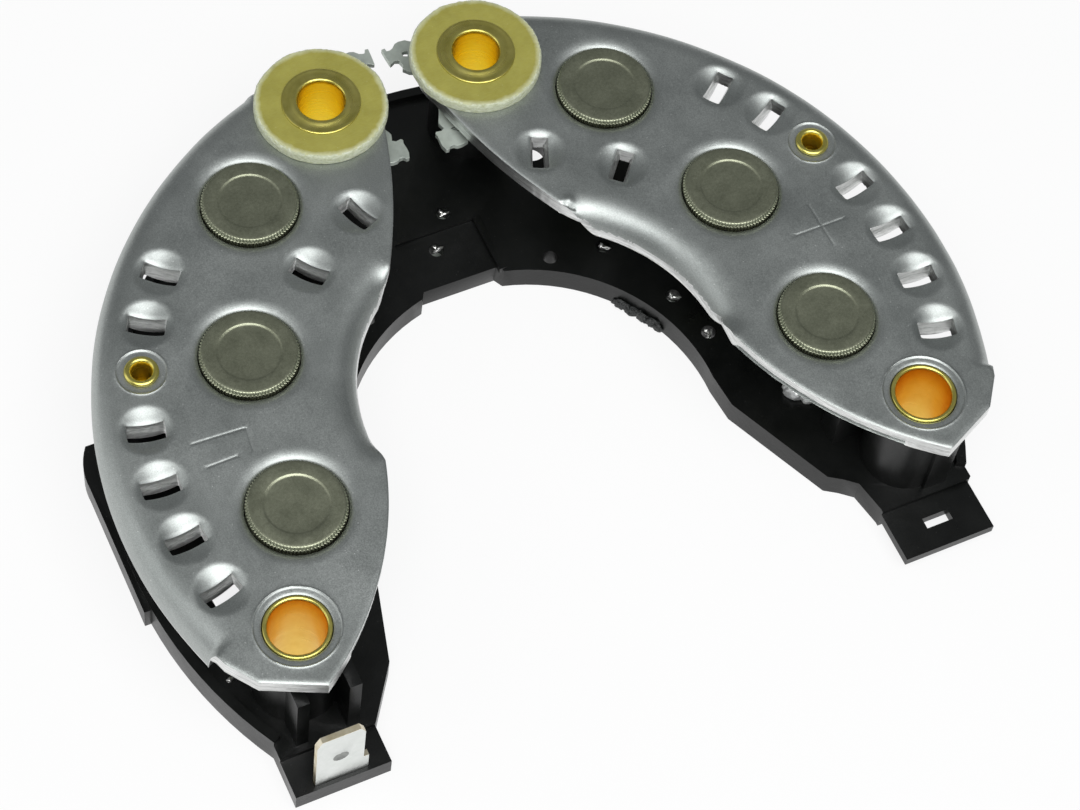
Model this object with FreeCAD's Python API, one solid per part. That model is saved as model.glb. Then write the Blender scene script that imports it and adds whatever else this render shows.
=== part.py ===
import FreeCAD, Part
import math
import os

# Alternator rectifier: two crescent heat sinks with press-fit diodes over a black horseshoe carrier.
# Millimetres. The origin is the rotor shaft's axis on the carrier's underside, +X towards the
# positive plate, +Y towards the washers, +Z up. The positive side is built and the negative side
# takes the same sizes mirrored in X.

Vector = FreeCAD.Vector

# Levels above the carrier's underside
deck_thickness = 3.8
plate_spacing = 13.2
plate_thickness = 2.2
plate_bottom = deck_thickness + plate_spacing
plate_top = plate_bottom + plate_thickness

# Heat sink outline. A place is a distance in from the outer edge and an angle from +X, in degrees.
plate_outer_radius = 57.6
edge_bend_radius = 3.3
outer_edge_drop = 4.5
outer_edge_start_angle = -21.2
outer_edge_end_angle = 71.0
plate_width = 33.5
inner_edge_start_angle = -6.0
inner_edge_end_angle = 58.5
plate_end_radius = 8.0
tip_offset = (-0.5, -8.5)
tip_corner_offset = (7.0, -5.0)
tip_shoulder_offset = (9.8, -1.2)
tip_relief_offset = (9.5, -0.7)
lower_edge_middle_place = (22.3, -29.91)
lower_edge_top_place = (32.99, -9.12)
upper_edge_middle_place = (22.62, 78.71)
upper_edge_bottom_place = (31.5, 60.88)

# Dished slots of the heat sinks
slot_length = 4.9
slot_width = 2.4
dish_radius = 3.3
dish_floor_radius = 2.5
dish_depth = 0.8
outer_slot_inset = 6.4
outer_slot_angles = (38.6, 29.8, 12.5, 3.6, -5.3, -14.4)
inner_slot_places = ((23.76, 67.22), (23.87, 48.61))

# Diodes
diode_places = ((12.25, 55.78), (19.72, 25.82), (20.26, -8.78))
diode_radius = 6.375
diode_fit_clearance = 0.15
diode_stand_out = 0.55
diode_height = 7.4
diode_rim_width = 0.55
diode_recess_radius = 4.2
diode_recess_depth = 0.25
diode_skirt_radius = 6.1
diode_knurl_height = 4.2
collar_width = 1.4
collar_drop = 0.5
lead_radius = 0.65
lead_head_radius = 1.3
lead_head_height = 0.8

# Brass parts
end_bush_place = (9.74, -25.76)
end_bush_bore_radius = 3.6
end_bush_wall = 0.5
end_bush_flare = 0.15
eyelet_place = (6.4, 21.8)
eyelet_bore_radius = 1.2
eyelet_wall = 0.35
eyelet_rim_radius = 2.2
eyelet_rim_height = 0.5
sleeve_place = (8.41, 76.84)
sleeve_bore_radius = 3.12
sleeve_wall = 0.58
sleeve_flange_radius = 5.25
sleeve_flange_height = 0.45
brass_clearance = 0.2

# Washers and forked terminals
fibre_washer_radius = 8.9
fibre_washer_thickness = 1.6
fibre_washer_bevel = 0.3
lower_washer_radius = 6.6
lower_washer_thickness = 1.0
terminal_thickness = 0.8
terminal_ring_radius = 6.2
terminal_reach = 1.8
fork_head_width = 3.0
fork_head_depth = 2.0
fork_neck_width = 1.3
fork_neck_length = 0.9
fork_shoulder_width = 3.4
fork_centre_ys = (40.0, 55.4)
terminal_bar_width = 3.0

# Carrier. Places near the feet are offsets from the end bush of the same side, outwards positive.
carrier_edge_inset = 1.3
carrier_bore_inset = 32.6
carrier_bore_end_angle = -3.0
rim_width = 1.3
rim_height = 1.0
notch_half_width = 5.3
notch_corner_width = 0.7
notch_depth = 0.5
lug_stand_out = 0.6
lug_y_range = (-5.0, 14.0)
lug_shoulder_offset = (-0.4, 3.6)
lug_end_offset = (-1.6, 6.0)
lug_depth = 3.5
edge_recess_inset = 3.6
edge_recess_angles = (-9.5, 17.5)
vent_place = (11.5, -6.2)
vent_size = (5.6, 4.8)
deck_hole_place = (12.53, 66.7)
deck_hole_radius = 2.3
pillar_radius = 5.6
eyelet_post_radius = 3.0
right_inner_start_place = (31.5, -13.29)
right_inner_offsets = ((-13.4, 5.6), (-10.9, 0.3), (-9.2, -0.8), (-7.5, -2.2), (-6.6, -6.6))
right_leg_offset = (6.8, -6.8)
left_inner_offsets = ((-11.8, -2.1), (-14.5, 7.7))
foot_top = 3.0
foot_front_offset = -14.2
foot_overlap = 0.5
right_foot_offsets = (-6.6, 6.4)
right_foot_back_offset = -7.1
right_foot_thickness = 1.4
left_foot_offsets = (-6.9, 5.8)
left_foot_back_offset = -9.1
foot_slot_size = (3.8, 1.5)
foot_slot_offset = (0.0, -10.4)
rib_wide = (0.0, 3.3)
rib_wide_front_offset = -6.1
rib_side = (-8.1, -3.1)
rib_side_offsets = (4.5, 7.8)
left_rib_outer = (1.7, 3.3)
left_rib_inner = (-5.1, -3.5)
left_rib_front_offset = -8.2
pocket_x_range = (-6.1, 5.4)
pocket_length = 8.0
pocket_depth = 0.5
ridge_width = 1.0
ridge_height = 0.5

# Phase conductors in channels of the carrier's underside
conductor_width = 2.8
conductor_thickness = 0.8
conductor_channel_depth = 1.2
conductor_side_clearance = 0.3
conductor_insets = (16.9, 20.9, 27.2)
window_radius = 1.0
window_places = (
    (21.64, 86.65), (26.58, 91.85), (29.64, 120.05), (30.45, 62.11),
    (27.06, 48.58), (29.24, 25.48), (29.59, 10.91),
)
lead_hole_radius = 1.5

# Spade terminal on the left foot
spade_width = 6.3
spade_shoulder_width = 0.7
spade_shoulder_top = 6.4
spade_thickness = 0.8
spade_top = 15.2
spade_corner = 1.3
spade_left_offset = 3.0
spade_face_offset = -13.6
spade_slot_clearance = 0.1


def place(inset, angle):
    # A point given by its distance in from the heat sinks' outer edge and its angle from +X.
    radius = plate_outer_radius - inset
    return (radius * math.cos(math.radians(angle)), radius * math.sin(math.radians(angle)))


end_bush_point = place(*end_bush_place)
eyelet_point = place(*eyelet_place)
sleeve_point = place(*sleeve_place)
diode_points = [place(*spot) for spot in diode_places]
inner_edge_radius = plate_outer_radius - plate_width
carrier_bore_radius = plate_outer_radius - carrier_bore_inset
notch_y = carrier_bore_radius + notch_depth
pocket_y_top = notch_y + pocket_length
carrier_outer_radius = plate_outer_radius - carrier_edge_inset


def by_bush(offset, side=1):
    # A point near an end bush; side is 1 for the positive side and -1 for the negative side.
    return (side * (end_bush_point[0] + offset[0]), end_bush_point[1] + offset[1])


def at(point, z=0.0):
    return Vector(point[0], point[1], z)


def polar(radius, degrees, z=0.0):
    turn = math.radians(degrees)
    return Vector(radius * math.cos(turn), radius * math.sin(turn), z)


def arc_edge(radius, first, last, z=0.0):
    middle = (first + last) / 2.0
    return Part.Arc(polar(radius, first, z), polar(radius, middle, z), polar(radius, last, z)).toShape()


def line_edges(points):
    return [Part.makeLine(a, b) for a, b in zip(points, points[1:])]


def prism(edges, height):
    return Part.Face(Part.Wire(edges)).extrude(Vector(0, 0, height))


def cylinder(radius, height, point, z):
    return Part.makeCylinder(radius, height, at(point, z))


def box(x_range, y_range, z_range):
    size = [high - low for low, high in (x_range, y_range, z_range)]
    return Part.makeBox(*size, Vector(x_range[0], y_range[0], z_range[0]))


def turned(profile, point):
    # A profile of (radius, height) pairs turned about the upright axis through a point.
    corners = [Vector(radius, 0, height) for radius, height in profile]
    face = Part.Face(Part.makePolygon(corners + corners[:1]))
    solid = face.revolve(Vector(0, 0, 0), Vector(0, 0, 1), 360)
    solid.translate(at(point))
    return solid


def mirrored(shape):
    return shape.mirror(Vector(0, 0, 0), Vector(1, 0, 0))


def swept_section(edges, first, last):
    # A section drawn in the XZ plane, swept about the shaft's axis between two angles.
    face = Part.Face(Part.Wire(edges))
    face.rotate(Vector(0, 0, 0), Vector(0, 0, 1), first)
    return face.revolve(Vector(0, 0, 0), Vector(0, 0, 1), last - first)


def bent_edge_section(flat_radius, direction, drop):
    # The sheet turns down from flat_radius, outwards (1) or inwards (-1), through a quarter bend.
    inner_bend = edge_bend_radius - plate_thickness
    centre_z = plate_top - edge_bend_radius
    half = math.sqrt(0.5)

    def spot(radius, z):
        return Vector(flat_radius + direction * radius, 0, z)

    def bend(radius):
        return Part.Arc(
            spot(0, centre_z + radius),
            spot(radius * half, centre_z + radius * half),
            spot(radius, centre_z),
        ).toShape()

    foot_z = plate_top - drop
    edges = [bend(edge_bend_radius)]
    if drop > edge_bend_radius:
        edges.append(Part.makeLine(spot(edge_bend_radius, centre_z), spot(edge_bend_radius, foot_z)))
        edges.append(Part.makeLine(spot(inner_bend, foot_z), spot(inner_bend, centre_z)))
    edges.append(Part.makeLine(spot(edge_bend_radius, foot_z), spot(inner_bend, foot_z)))
    edges.append(bend(inner_bend))
    edges.append(Part.makeLine(spot(0, plate_bottom), spot(0, plate_top)))
    return Part.__sortEdges__(edges)


def slot_places():
    outer_slot_radius = plate_outer_radius - outer_slot_inset
    places = [(polar(outer_slot_radius, angle), angle) for angle in outer_slot_angles]
    places += [(at(place(inset, angle)), angle) for inset, angle in inner_slot_places]
    return places


def dish(centre, top_z):
    tool = Part.makeCone(dish_floor_radius, dish_radius, dish_depth, Vector(0, 0, top_z - dish_depth))
    tool.translate(centre)
    return tool


def heat_sink_blank():
    outer_flat = plate_outer_radius - edge_bend_radius
    inner_flat = inner_edge_radius + edge_bend_radius
    z = plate_bottom
    end_centre = at(sleeve_point, z)
    end_start = end_centre + polar(plate_end_radius, 45)
    end_middle = end_centre + polar(plate_end_radius, 125)
    end_finish = end_centre + polar(plate_end_radius, 205)
    upper_corner = at(place(*upper_edge_bottom_place), z)
    lower_corner = at(place(*lower_edge_top_place), z)
    tip_offsets = (tip_offset, tip_corner_offset, tip_shoulder_offset, tip_relief_offset)
    tip = [at(by_bush(offset), z) for offset in tip_offsets]
    outline = line_edges(tip + [polar(outer_flat, outer_edge_start_angle, z)])
    outline.append(arc_edge(outer_flat, outer_edge_start_angle, outer_edge_end_angle, z))
    outline.append(Part.makeLine(polar(outer_flat, outer_edge_end_angle, z), end_start))
    outline.append(Part.Arc(end_start, end_middle, end_finish).toShape())
    outline.append(Part.Arc(end_finish, at(place(*upper_edge_middle_place), z), upper_corner).toShape())
    outline.append(Part.makeLine(upper_corner, polar(inner_flat, inner_edge_end_angle, z)))
    outline.append(arc_edge(inner_flat, inner_edge_end_angle, inner_edge_start_angle, z))
    outline.append(Part.makeLine(polar(inner_flat, inner_edge_start_angle, z), lower_corner))
    outline.append(Part.Arc(lower_corner, at(place(*lower_edge_middle_place), z), tip[0]).toShape())
    sheet = prism(outline, plate_thickness)
    outer_edge = swept_section(
        bent_edge_section(outer_flat, 1, outer_edge_drop), outer_edge_start_angle, outer_edge_end_angle
    )
    inner_edge = swept_section(
        bent_edge_section(inner_flat, -1, edge_bend_radius), inner_edge_start_angle, inner_edge_end_angle
    )
    return sheet.fuse([outer_edge, inner_edge])


def heat_sink():
    sheet = heat_sink_blank()
    bosses = [dish(centre, plate_bottom) for centre, angle in slot_places()]
    sheet = sheet.fuse(bosses)
    tools = []
    for centre, angle in slot_places():
        tools.append(dish(centre, plate_top))
        slot = box(
            (-slot_length / 2, slot_length / 2),
            (-slot_width / 2, slot_width / 2),
            (plate_bottom - 2 * dish_depth, plate_top + dish_depth),
        )
        slot.rotate(Vector(0, 0, 0), Vector(0, 0, 1), angle)
        slot.translate(centre)
        tools.append(slot)
    hole = diode_radius + diode_fit_clearance
    for point in diode_points:
        tools.append(turned(
            (
                (0, plate_bottom - 1),
                (hole, plate_bottom - 1),
                (hole, plate_top - collar_drop),
                (hole + collar_width, plate_top),
                (hole + collar_width, plate_top + 1),
                (0, plate_top + 1),
            ),
            point,
        ))
    for point, radius in (
        (end_bush_point, end_bush_bore_radius + end_bush_wall + end_bush_flare + brass_clearance),
        (eyelet_point, eyelet_bore_radius + eyelet_wall + brass_clearance),
        (sleeve_point, sleeve_bore_radius + sleeve_wall + brass_clearance),
    ):
        tools.append(cylinder(radius, plate_thickness + 2, point, plate_bottom - 1))
    return sheet.cut(tools).removeSplitter()


def diode(point):
    top = plate_top + diode_stand_out
    floor = top - diode_height
    return turned(
        (
            (0, floor),
            (diode_skirt_radius, floor),
            (diode_skirt_radius, top - diode_knurl_height),
            (diode_radius, top - diode_knurl_height),
            (diode_radius, top - diode_rim_width),
            (diode_radius - diode_rim_width, top),
            (diode_recess_radius, top),
            (diode_recess_radius - diode_recess_depth, top - diode_recess_depth),
            (0, top - diode_recess_depth),
        ),
        point,
    )


def diode_lead(point):
    top = plate_top + diode_stand_out - diode_height
    return turned(
        (
            (0, 0),
            (lead_radius, 0),
            (lead_radius, top - lead_head_height),
            (lead_head_radius, top - lead_head_height / 2),
            (lead_head_radius, top),
            (0, top),
        ),
        point,
    )


def end_bush():
    outer = end_bush_bore_radius + end_bush_wall
    return turned(
        (
            (end_bush_bore_radius, 0),
            (outer, 0),
            (outer, plate_top - 2 * end_bush_flare),
            (outer + end_bush_flare, plate_top - end_bush_flare),
            (outer + end_bush_flare, plate_top),
            (outer, plate_top),
            (end_bush_bore_radius, plate_top - end_bush_flare),
        ),
        end_bush_point,
    )


def eyelet():
    outer = eyelet_bore_radius + eyelet_wall
    rim_top = plate_top + eyelet_rim_height
    rim_middle = (outer + eyelet_rim_radius) / 2
    return turned(
        (
            (eyelet_bore_radius, 0),
            (outer, 0),
            (outer, plate_top),
            (eyelet_rim_radius, plate_top),
            (rim_middle, rim_top),
            (eyelet_bore_radius, plate_top + eyelet_rim_height / 2),
        ),
        eyelet_point,
    )


def sleeve():
    outer = sleeve_bore_radius + sleeve_wall
    seat = plate_top + fibre_washer_thickness
    return turned(
        (
            (sleeve_bore_radius, 0),
            (outer, 0),
            (outer, seat),
            (sleeve_flange_radius, seat),
            (sleeve_flange_radius, seat + sleeve_flange_height / 2),
            (outer + sleeve_flange_height, seat + sleeve_flange_height),
            (sleeve_bore_radius, seat + sleeve_flange_height),
        ),
        sleeve_point,
    )


def washer(radius, thickness, z, bevel):
    # A flat ring round the sleeve, its upper outer corner bevelled where it is cut from thick board.
    hole = sleeve_bore_radius + sleeve_wall + brass_clearance
    top = z + thickness
    profile = [(hole, z), (radius, z), (radius, top - bevel), (radius - bevel, top), (hole, top)]
    if bevel == 0:
        profile.pop(3)
    return turned(profile, sleeve_point)


def forked_terminal():
    z = plate_bottom - lower_washer_thickness - terminal_thickness
    hole = sleeve_bore_radius + sleeve_wall + brass_clearance
    bar_left = terminal_reach + fork_head_depth + fork_neck_length
    low_y, high_y = fork_centre_ys
    half = fork_shoulder_width / 2
    z_range = (z, z + terminal_thickness)
    pieces = [box((bar_left, bar_left + terminal_bar_width), (low_y - half, high_y + half), z_range)]
    for centre_y in fork_centre_ys:
        head = (centre_y - fork_head_width / 2, centre_y + fork_head_width / 2)
        neck = (centre_y - fork_neck_width / 2, centre_y + fork_neck_width / 2)
        pieces.append(box((terminal_reach, terminal_reach + fork_head_depth), head, z_range))
        pieces.append(box((terminal_reach, bar_left + 0.5), neck, z_range))
    ring = cylinder(terminal_ring_radius, terminal_thickness, sleeve_point, z)
    plate = ring.fuse(pieces)
    return plate.cut(cylinder(hole, terminal_thickness + 2, sleeve_point, z - 1)).removeSplitter()


def conductor_shape(index, width, z, height):
    # One arc about the shaft between a pair of diodes, with a tab out to each diode's lead.
    lead_inset, lead_angle = diode_places[index]
    lead_distance = plate_outer_radius - lead_inset
    run = plate_outer_radius - conductor_insets[index]
    far_angle = 180.0 - lead_angle
    inner, outer = run - width / 2, run + width / 2
    band = prism(
        [
            arc_edge(inner, lead_angle, far_angle, z),
            Part.makeLine(polar(inner, far_angle, z), polar(outer, far_angle, z)),
            arc_edge(outer, far_angle, lead_angle, z),
            Part.makeLine(polar(outer, lead_angle, z), polar(inner, lead_angle, z)),
        ],
        height,
    )
    pieces = []
    for angle in (lead_angle, far_angle):
        if run != lead_distance:
            tab = box(sorted((run, lead_distance)), (-width / 2, width / 2), (z, z + height))
            tab.rotate(Vector(0, 0, 0), Vector(0, 0, 1), angle)
            pieces.append(tab)
            pieces.append(Part.makeCylinder(width / 2, height, polar(run, angle, z)))
        pieces.append(Part.makeCylinder(width / 2, height, polar(lead_distance, angle, z)))
    return band.fuse(pieces).removeSplitter()


def phase_conductor(index):
    z = conductor_channel_depth - conductor_thickness
    strip = conductor_shape(index, conductor_width, z, conductor_thickness)
    x, y = diode_points[index]
    hole = lead_radius + conductor_side_clearance
    return strip.cut([cylinder(hole, conductor_thickness + 2, (side * x, y), z - 1) for side in (1, -1)])


def spade_blade_x_range():
    left = by_bush((spade_left_offset, 0), -1)[0]
    return (left, left + spade_width + spade_shoulder_width)


def spade_face_y():
    return end_bush_point[1] + spade_face_offset


def spade_terminal():
    left, right = spade_blade_x_range()
    z = conductor_channel_depth - spade_thickness
    narrow_right = left + spade_width
    corners = [
        (left, z),
        (right, z),
        (right, spade_shoulder_top),
        (narrow_right, spade_shoulder_top),
        (narrow_right, spade_top - spade_corner),
        (narrow_right - spade_corner / 2, spade_top),
        (left + spade_corner / 2, spade_top),
        (left, spade_top - spade_corner),
    ]
    face_y = spade_face_y()
    points = [Vector(x, face_y, height) for x, height in corners]
    blade = Part.Face(Part.makePolygon(points + points[:1])).extrude(Vector(0, spade_thickness, 0))
    eye_x, eye_y = -end_bush_point[0], end_bush_point[1]
    tail = box((left, right), (face_y, eye_y), (z, conductor_channel_depth))
    eye = cylinder(pillar_radius, spade_thickness, (eye_x, eye_y), z)
    hole = end_bush_bore_radius + end_bush_wall + brass_clearance
    piece = blade.fuse([tail, eye])
    return piece.cut(cylinder(hole, spade_thickness + 2, (eye_x, eye_y), z - 1)).removeSplitter()


def spade_recess():
    left, right = spade_blade_x_range()
    gap = spade_slot_clearance
    eye_x, eye_y = -end_bush_point[0], end_bush_point[1]
    front = spade_face_y() - gap
    back = front + spade_thickness + 2 * gap
    slot = box((left - gap, right + gap), (front, back), (-1, deck_thickness + 1))
    channel = box((left - gap, right + gap), (front, eye_y), (-1, conductor_channel_depth))
    eye = Part.makeCylinder(
        pillar_radius + conductor_side_clearance, conductor_channel_depth + 1, Vector(eye_x, eye_y, -1)
    )
    return [slot, channel, eye]


def foot_x_range(side):
    low, high = right_foot_offsets if side == 1 else left_foot_offsets
    ends = (by_bush((low, 0), side)[0], by_bush((high, 0), side)[0])
    return (min(ends), max(ends))


def carrier_deck():
    # Inner edge and outer edge of each side, from the notch round to the feet.
    notch_angle = math.degrees(math.acos((notch_half_width + notch_corner_width) / carrier_bore_radius))
    right_foot_x = foot_x_range(1)
    left_foot_x = foot_x_range(-1)
    right_back_y = end_bush_point[1] + right_foot_back_offset
    left_back_y = end_bush_point[1] + left_foot_back_offset
    right_leg = by_bush(right_leg_offset)
    right_end_angle = -math.degrees(math.acos(right_leg[0] / carrier_outer_radius))
    left_end_angle = 180 + math.degrees(math.acos(-left_foot_x[0] / carrier_outer_radius))
    right_side = [polar(carrier_bore_radius, carrier_bore_end_angle), at(place(*right_inner_start_place))]
    right_side += [at(by_bush(offset)) for offset in right_inner_offsets]
    right_side += [
        Vector(right_foot_x[0], right_back_y, 0),
        Vector(right_foot_x[1], right_back_y, 0),
        at(right_leg),
        polar(carrier_outer_radius, right_end_angle),
    ]
    left_side = [
        polar(carrier_outer_radius, left_end_angle),
        Vector(left_foot_x[0], left_back_y, 0),
        Vector(left_foot_x[1], left_back_y, 0),
    ]
    left_side += [at(by_bush(offset, -1)) for offset in left_inner_offsets]
    left_side.append(polar(carrier_bore_radius, 180 - carrier_bore_end_angle))
    edges = [arc_edge(carrier_bore_radius, notch_angle, carrier_bore_end_angle)]
    edges += line_edges(right_side)
    edges.append(arc_edge(carrier_outer_radius, right_end_angle, left_end_angle))
    edges += line_edges(left_side)
    edges.append(arc_edge(carrier_bore_radius, 180 - carrier_bore_end_angle, 180 - notch_angle))
    edges += line_edges([
        polar(carrier_bore_radius, 180 - notch_angle),
        Vector(-notch_half_width, notch_y, 0),
        Vector(notch_half_width, notch_y, 0),
        polar(carrier_bore_radius, notch_angle),
    ])
    rim_inner = carrier_outer_radius - rim_width
    rim_top = deck_thickness + rim_height
    section = [
        Vector(rim_inner, 0, 0),
        Vector(carrier_outer_radius, 0, 0),
        Vector(carrier_outer_radius, 0, rim_top),
        Vector(rim_inner, 0, rim_top),
        Vector(rim_inner, 0, 0),
    ]
    rim = swept_section(line_edges(section), right_end_angle, left_end_angle)
    return prism(edges, deck_thickness).fuse(rim)


def carrier_posts():
    stack_top = plate_bottom - lower_washer_thickness - terminal_thickness
    posts = []
    for side in (1, -1):
        for (x, y), radius, top in (
            (end_bush_point, pillar_radius, plate_bottom),
            (eyelet_point, eyelet_post_radius, plate_bottom),
            (sleeve_point, pillar_radius, stack_top),
        ):
            posts.append(cylinder(radius, top - deck_thickness, (side * x, y), deck_thickness))
    return posts


def carrier_ribs():
    bush_y = end_bush_point[1]

    def rib(offsets, y_offsets, side, top):
        ends = sorted(by_bush((offset, 0), side)[0] for offset in offsets)
        return box(ends, [bush_y + offset for offset in y_offsets], (foot_top, top))

    return [
        rib(rib_wide, (rib_wide_front_offset, 0), 1, plate_bottom),
        rib(rib_side, rib_side_offsets, 1, plate_bottom),
        rib(left_rib_outer, (left_rib_front_offset, 0), -1, spade_top),
        rib(left_rib_inner, (left_rib_front_offset, 0), -1, spade_top),
    ]


def carrier_feet():
    bush_y = end_bush_point[1]
    front_y = bush_y + foot_front_offset
    right_y = (front_y, bush_y + right_foot_back_offset + foot_overlap)
    left_y = (front_y, bush_y + left_foot_back_offset + foot_overlap)
    right = box(foot_x_range(1), right_y, (foot_top - right_foot_thickness, foot_top))
    left = box(foot_x_range(-1), left_y, (0, foot_top))
    slot_x, slot_y = by_bush(foot_slot_offset)
    width, depth = foot_slot_size
    slot = box(
        (slot_x - width / 2, slot_x + width / 2),
        (slot_y - depth / 2, slot_y + depth / 2),
        (-1, foot_top + 1),
    )
    return [right.cut(slot), left]


def carrier_lug():
    reach = carrier_outer_radius + lug_stand_out
    low_y, high_y = lug_y_range
    shoulder = Vector(reach + lug_shoulder_offset[0], high_y + lug_shoulder_offset[1], 0)
    end = Vector(reach + lug_end_offset[0], high_y + lug_end_offset[1], 0)
    inner_x = end.x - lug_depth
    start = Vector(reach, high_y, 0)
    inner_side = [end, Vector(inner_x, end.y, 0), Vector(inner_x, low_y, 0)]
    edges = line_edges(inner_side + [Vector(reach, low_y, 0), start])
    edges.append(Part.Arc(start, shoulder, end).toShape())
    return prism(edges, deck_thickness)


def carrier_air_ways():
    # The positive side's edge steps in below the slots and its deck has a round hole. The negative
    # side's deck has a window.
    inner = plate_outer_radius - edge_recess_inset
    section = [
        Vector(inner, 0, -1),
        Vector(plate_outer_radius, 0, -1),
        Vector(plate_outer_radius, 0, plate_bottom),
        Vector(inner, 0, plate_bottom),
        Vector(inner, 0, -1),
    ]
    recess = swept_section(line_edges(section), *edge_recess_angles)
    length, width = vent_size
    window = box((-length / 2, length / 2), (-width / 2, width / 2), (-1, deck_thickness + 1))
    window.rotate(Vector(0, 0, 0), Vector(0, 0, 1), vent_place[1])
    window.translate(at(place(*vent_place)))
    hole = cylinder(deck_hole_radius, deck_thickness + 2, place(*deck_hole_place), -1)
    return [recess, mirrored(window), hole]


def terminal_carrier():
    ridge = box(
        (pocket_x_range[1], pocket_x_range[1] + ridge_width),
        (notch_y - 1.0, pocket_y_top),
        (deck_thickness - pocket_depth, deck_thickness + ridge_height),
    )
    body = carrier_deck().fuse(
        [mirrored(carrier_lug()), ridge] + carrier_posts() + carrier_ribs() + carrier_feet()
    )
    pocket_z = (deck_thickness - pocket_depth, deck_thickness + ridge_height)
    tools = [box(pocket_x_range, (notch_y - 1.5, pocket_y_top), pocket_z)]
    for index, (x, y) in enumerate(diode_points):
        width = conductor_width + 2 * conductor_side_clearance
        tools.append(conductor_shape(index, width, -1, conductor_channel_depth + 1))
        tools += [cylinder(lead_hole_radius, deck_thickness + 2, (side * x, y), -1) for side in (1, -1)]
    for spot in window_places:
        tools.append(cylinder(window_radius, deck_thickness + 1, place(*spot), 0))
    for (x, y), radius in (
        (end_bush_point, end_bush_bore_radius + end_bush_wall + brass_clearance),
        (eyelet_point, eyelet_bore_radius + eyelet_wall + brass_clearance),
        (sleeve_point, sleeve_bore_radius + sleeve_wall + brass_clearance),
    ):
        tools += [cylinder(radius, plate_top + 2, (side * x, y), -1) for side in (1, -1)]
    tools += spade_recess() + carrier_air_ways()
    return body.cut(tools).removeSplitter()


def all_pieces():
    terminal_z = plate_bottom - lower_washer_thickness
    positive = {
        "heat_sink": heat_sink(),
        "end_bush": end_bush(),
        "eyelet": eyelet(),
        "sleeve": sleeve(),
        "fibre_washer": washer(fibre_washer_radius, fibre_washer_thickness, plate_top, fibre_washer_bevel),
        "lower_washer": washer(lower_washer_radius, lower_washer_thickness, terminal_z, 0),
        "forked_terminal": forked_terminal(),
    }
    for number, point in enumerate(diode_points, start=1):
        positive["diode_%d" % number] = diode(point)
        positive["lead_%d" % number] = diode_lead(point)
    pieces = {}
    for name, shape in positive.items():
        pieces["positive_" + name] = shape
        pieces["negative_" + name] = mirrored(shape)
    pieces["terminal_carrier"] = terminal_carrier()
    pieces["spade_terminal"] = spade_terminal()
    for number in (1, 2, 3):
        pieces["phase_conductor_%d" % number] = phase_conductor(number - 1)
    return pieces


os.makedirs("parts", exist_ok=True)
for node, solid in all_pieces().items():
    solid.exportStep("parts/%s.step" % node)
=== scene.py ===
import cmath
import math

import bmesh
import bpy
import numpy as np
from mathutils import Matrix, Vector, kdtree, noise
from mathutils.geometry import delaunay_2d_cdt


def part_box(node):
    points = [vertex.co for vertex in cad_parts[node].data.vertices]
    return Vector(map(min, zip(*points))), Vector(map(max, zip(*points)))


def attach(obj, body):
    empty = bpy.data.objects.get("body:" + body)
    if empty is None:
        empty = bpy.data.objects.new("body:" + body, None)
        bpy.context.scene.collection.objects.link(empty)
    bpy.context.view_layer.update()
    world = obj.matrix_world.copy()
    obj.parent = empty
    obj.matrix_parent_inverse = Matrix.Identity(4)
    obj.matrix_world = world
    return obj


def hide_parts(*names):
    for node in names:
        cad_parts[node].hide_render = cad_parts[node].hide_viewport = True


# Alternator rectifier, dressed over its CAD solids. The origin is the shaft's axis on the carrier's
# underside, +X towards the positive plate, +Y towards the washers, +Z up. Sizes here are millimetres
# and become metres where a mesh is made. A side is 1 for the positive plate and -1 for the negative.

MM = 0.001
SIDES = {1: "positive", -1: "negative"}

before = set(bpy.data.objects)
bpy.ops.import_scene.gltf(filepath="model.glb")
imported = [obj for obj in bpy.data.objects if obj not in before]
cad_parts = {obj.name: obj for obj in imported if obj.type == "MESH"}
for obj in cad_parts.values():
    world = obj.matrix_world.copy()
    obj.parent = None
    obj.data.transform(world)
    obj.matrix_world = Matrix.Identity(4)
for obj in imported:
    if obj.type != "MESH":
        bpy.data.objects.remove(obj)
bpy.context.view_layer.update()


def node_box(node):
    # A CAD node's lowest and highest corner in millimetres.
    low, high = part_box(node)
    return np.array(low) / MM, np.array(high) / MM


def side_box(node):
    # The box of a part of the positive side, which the negative side mirrors.
    return node_box("positive_" + node)


def centre_of(node):
    low, high = side_box(node)
    return ((low + high) / 2.0)[:2]


def radius_of(node):
    low, high = side_box(node)
    return (high[0] - low[0]) / 2.0


def levels(node):
    # The heights of a part's underside and top.
    low, high = side_box(node)
    return low[2], high[2]


# Sizes read from the frame
PLATE_OUTER = side_box("heat_sink")[1][0]
PLATE_TOP = levels("heat_sink")[1]
BUSH = centre_of("end_bush")
EYELET = centre_of("eyelet")
SLEEVE = centre_of("sleeve")
DIODES = [centre_of("diode_%d" % number) for number in (1, 2, 3)]
DIODE_RADIUS = radius_of("diode_1")
DIODE_BOTTOM, DIODE_TOP = levels("diode_1")
WASHER_RADIUS = radius_of("fibre_washer")
WASHER_BOTTOM, WASHER_TOP = levels("fibre_washer")
FORK_BOTTOM, FORK_TOP = levels("forked_terminal")
SPADE_FRONT = node_box("spade_terminal")[0][1]
BUSH_TOP = levels("end_bush")[1]
SLEEVE_TOP = levels("sleeve")[1]
EYELET_TOP = levels("eyelet")[1]
DECK_TOP = 3.8
WASHER_HOLE = 3.88
BORES = (3.6, 1.2, 3.12)
GATE_CRUMBS = (24.3, 1.15, 24.75)

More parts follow.
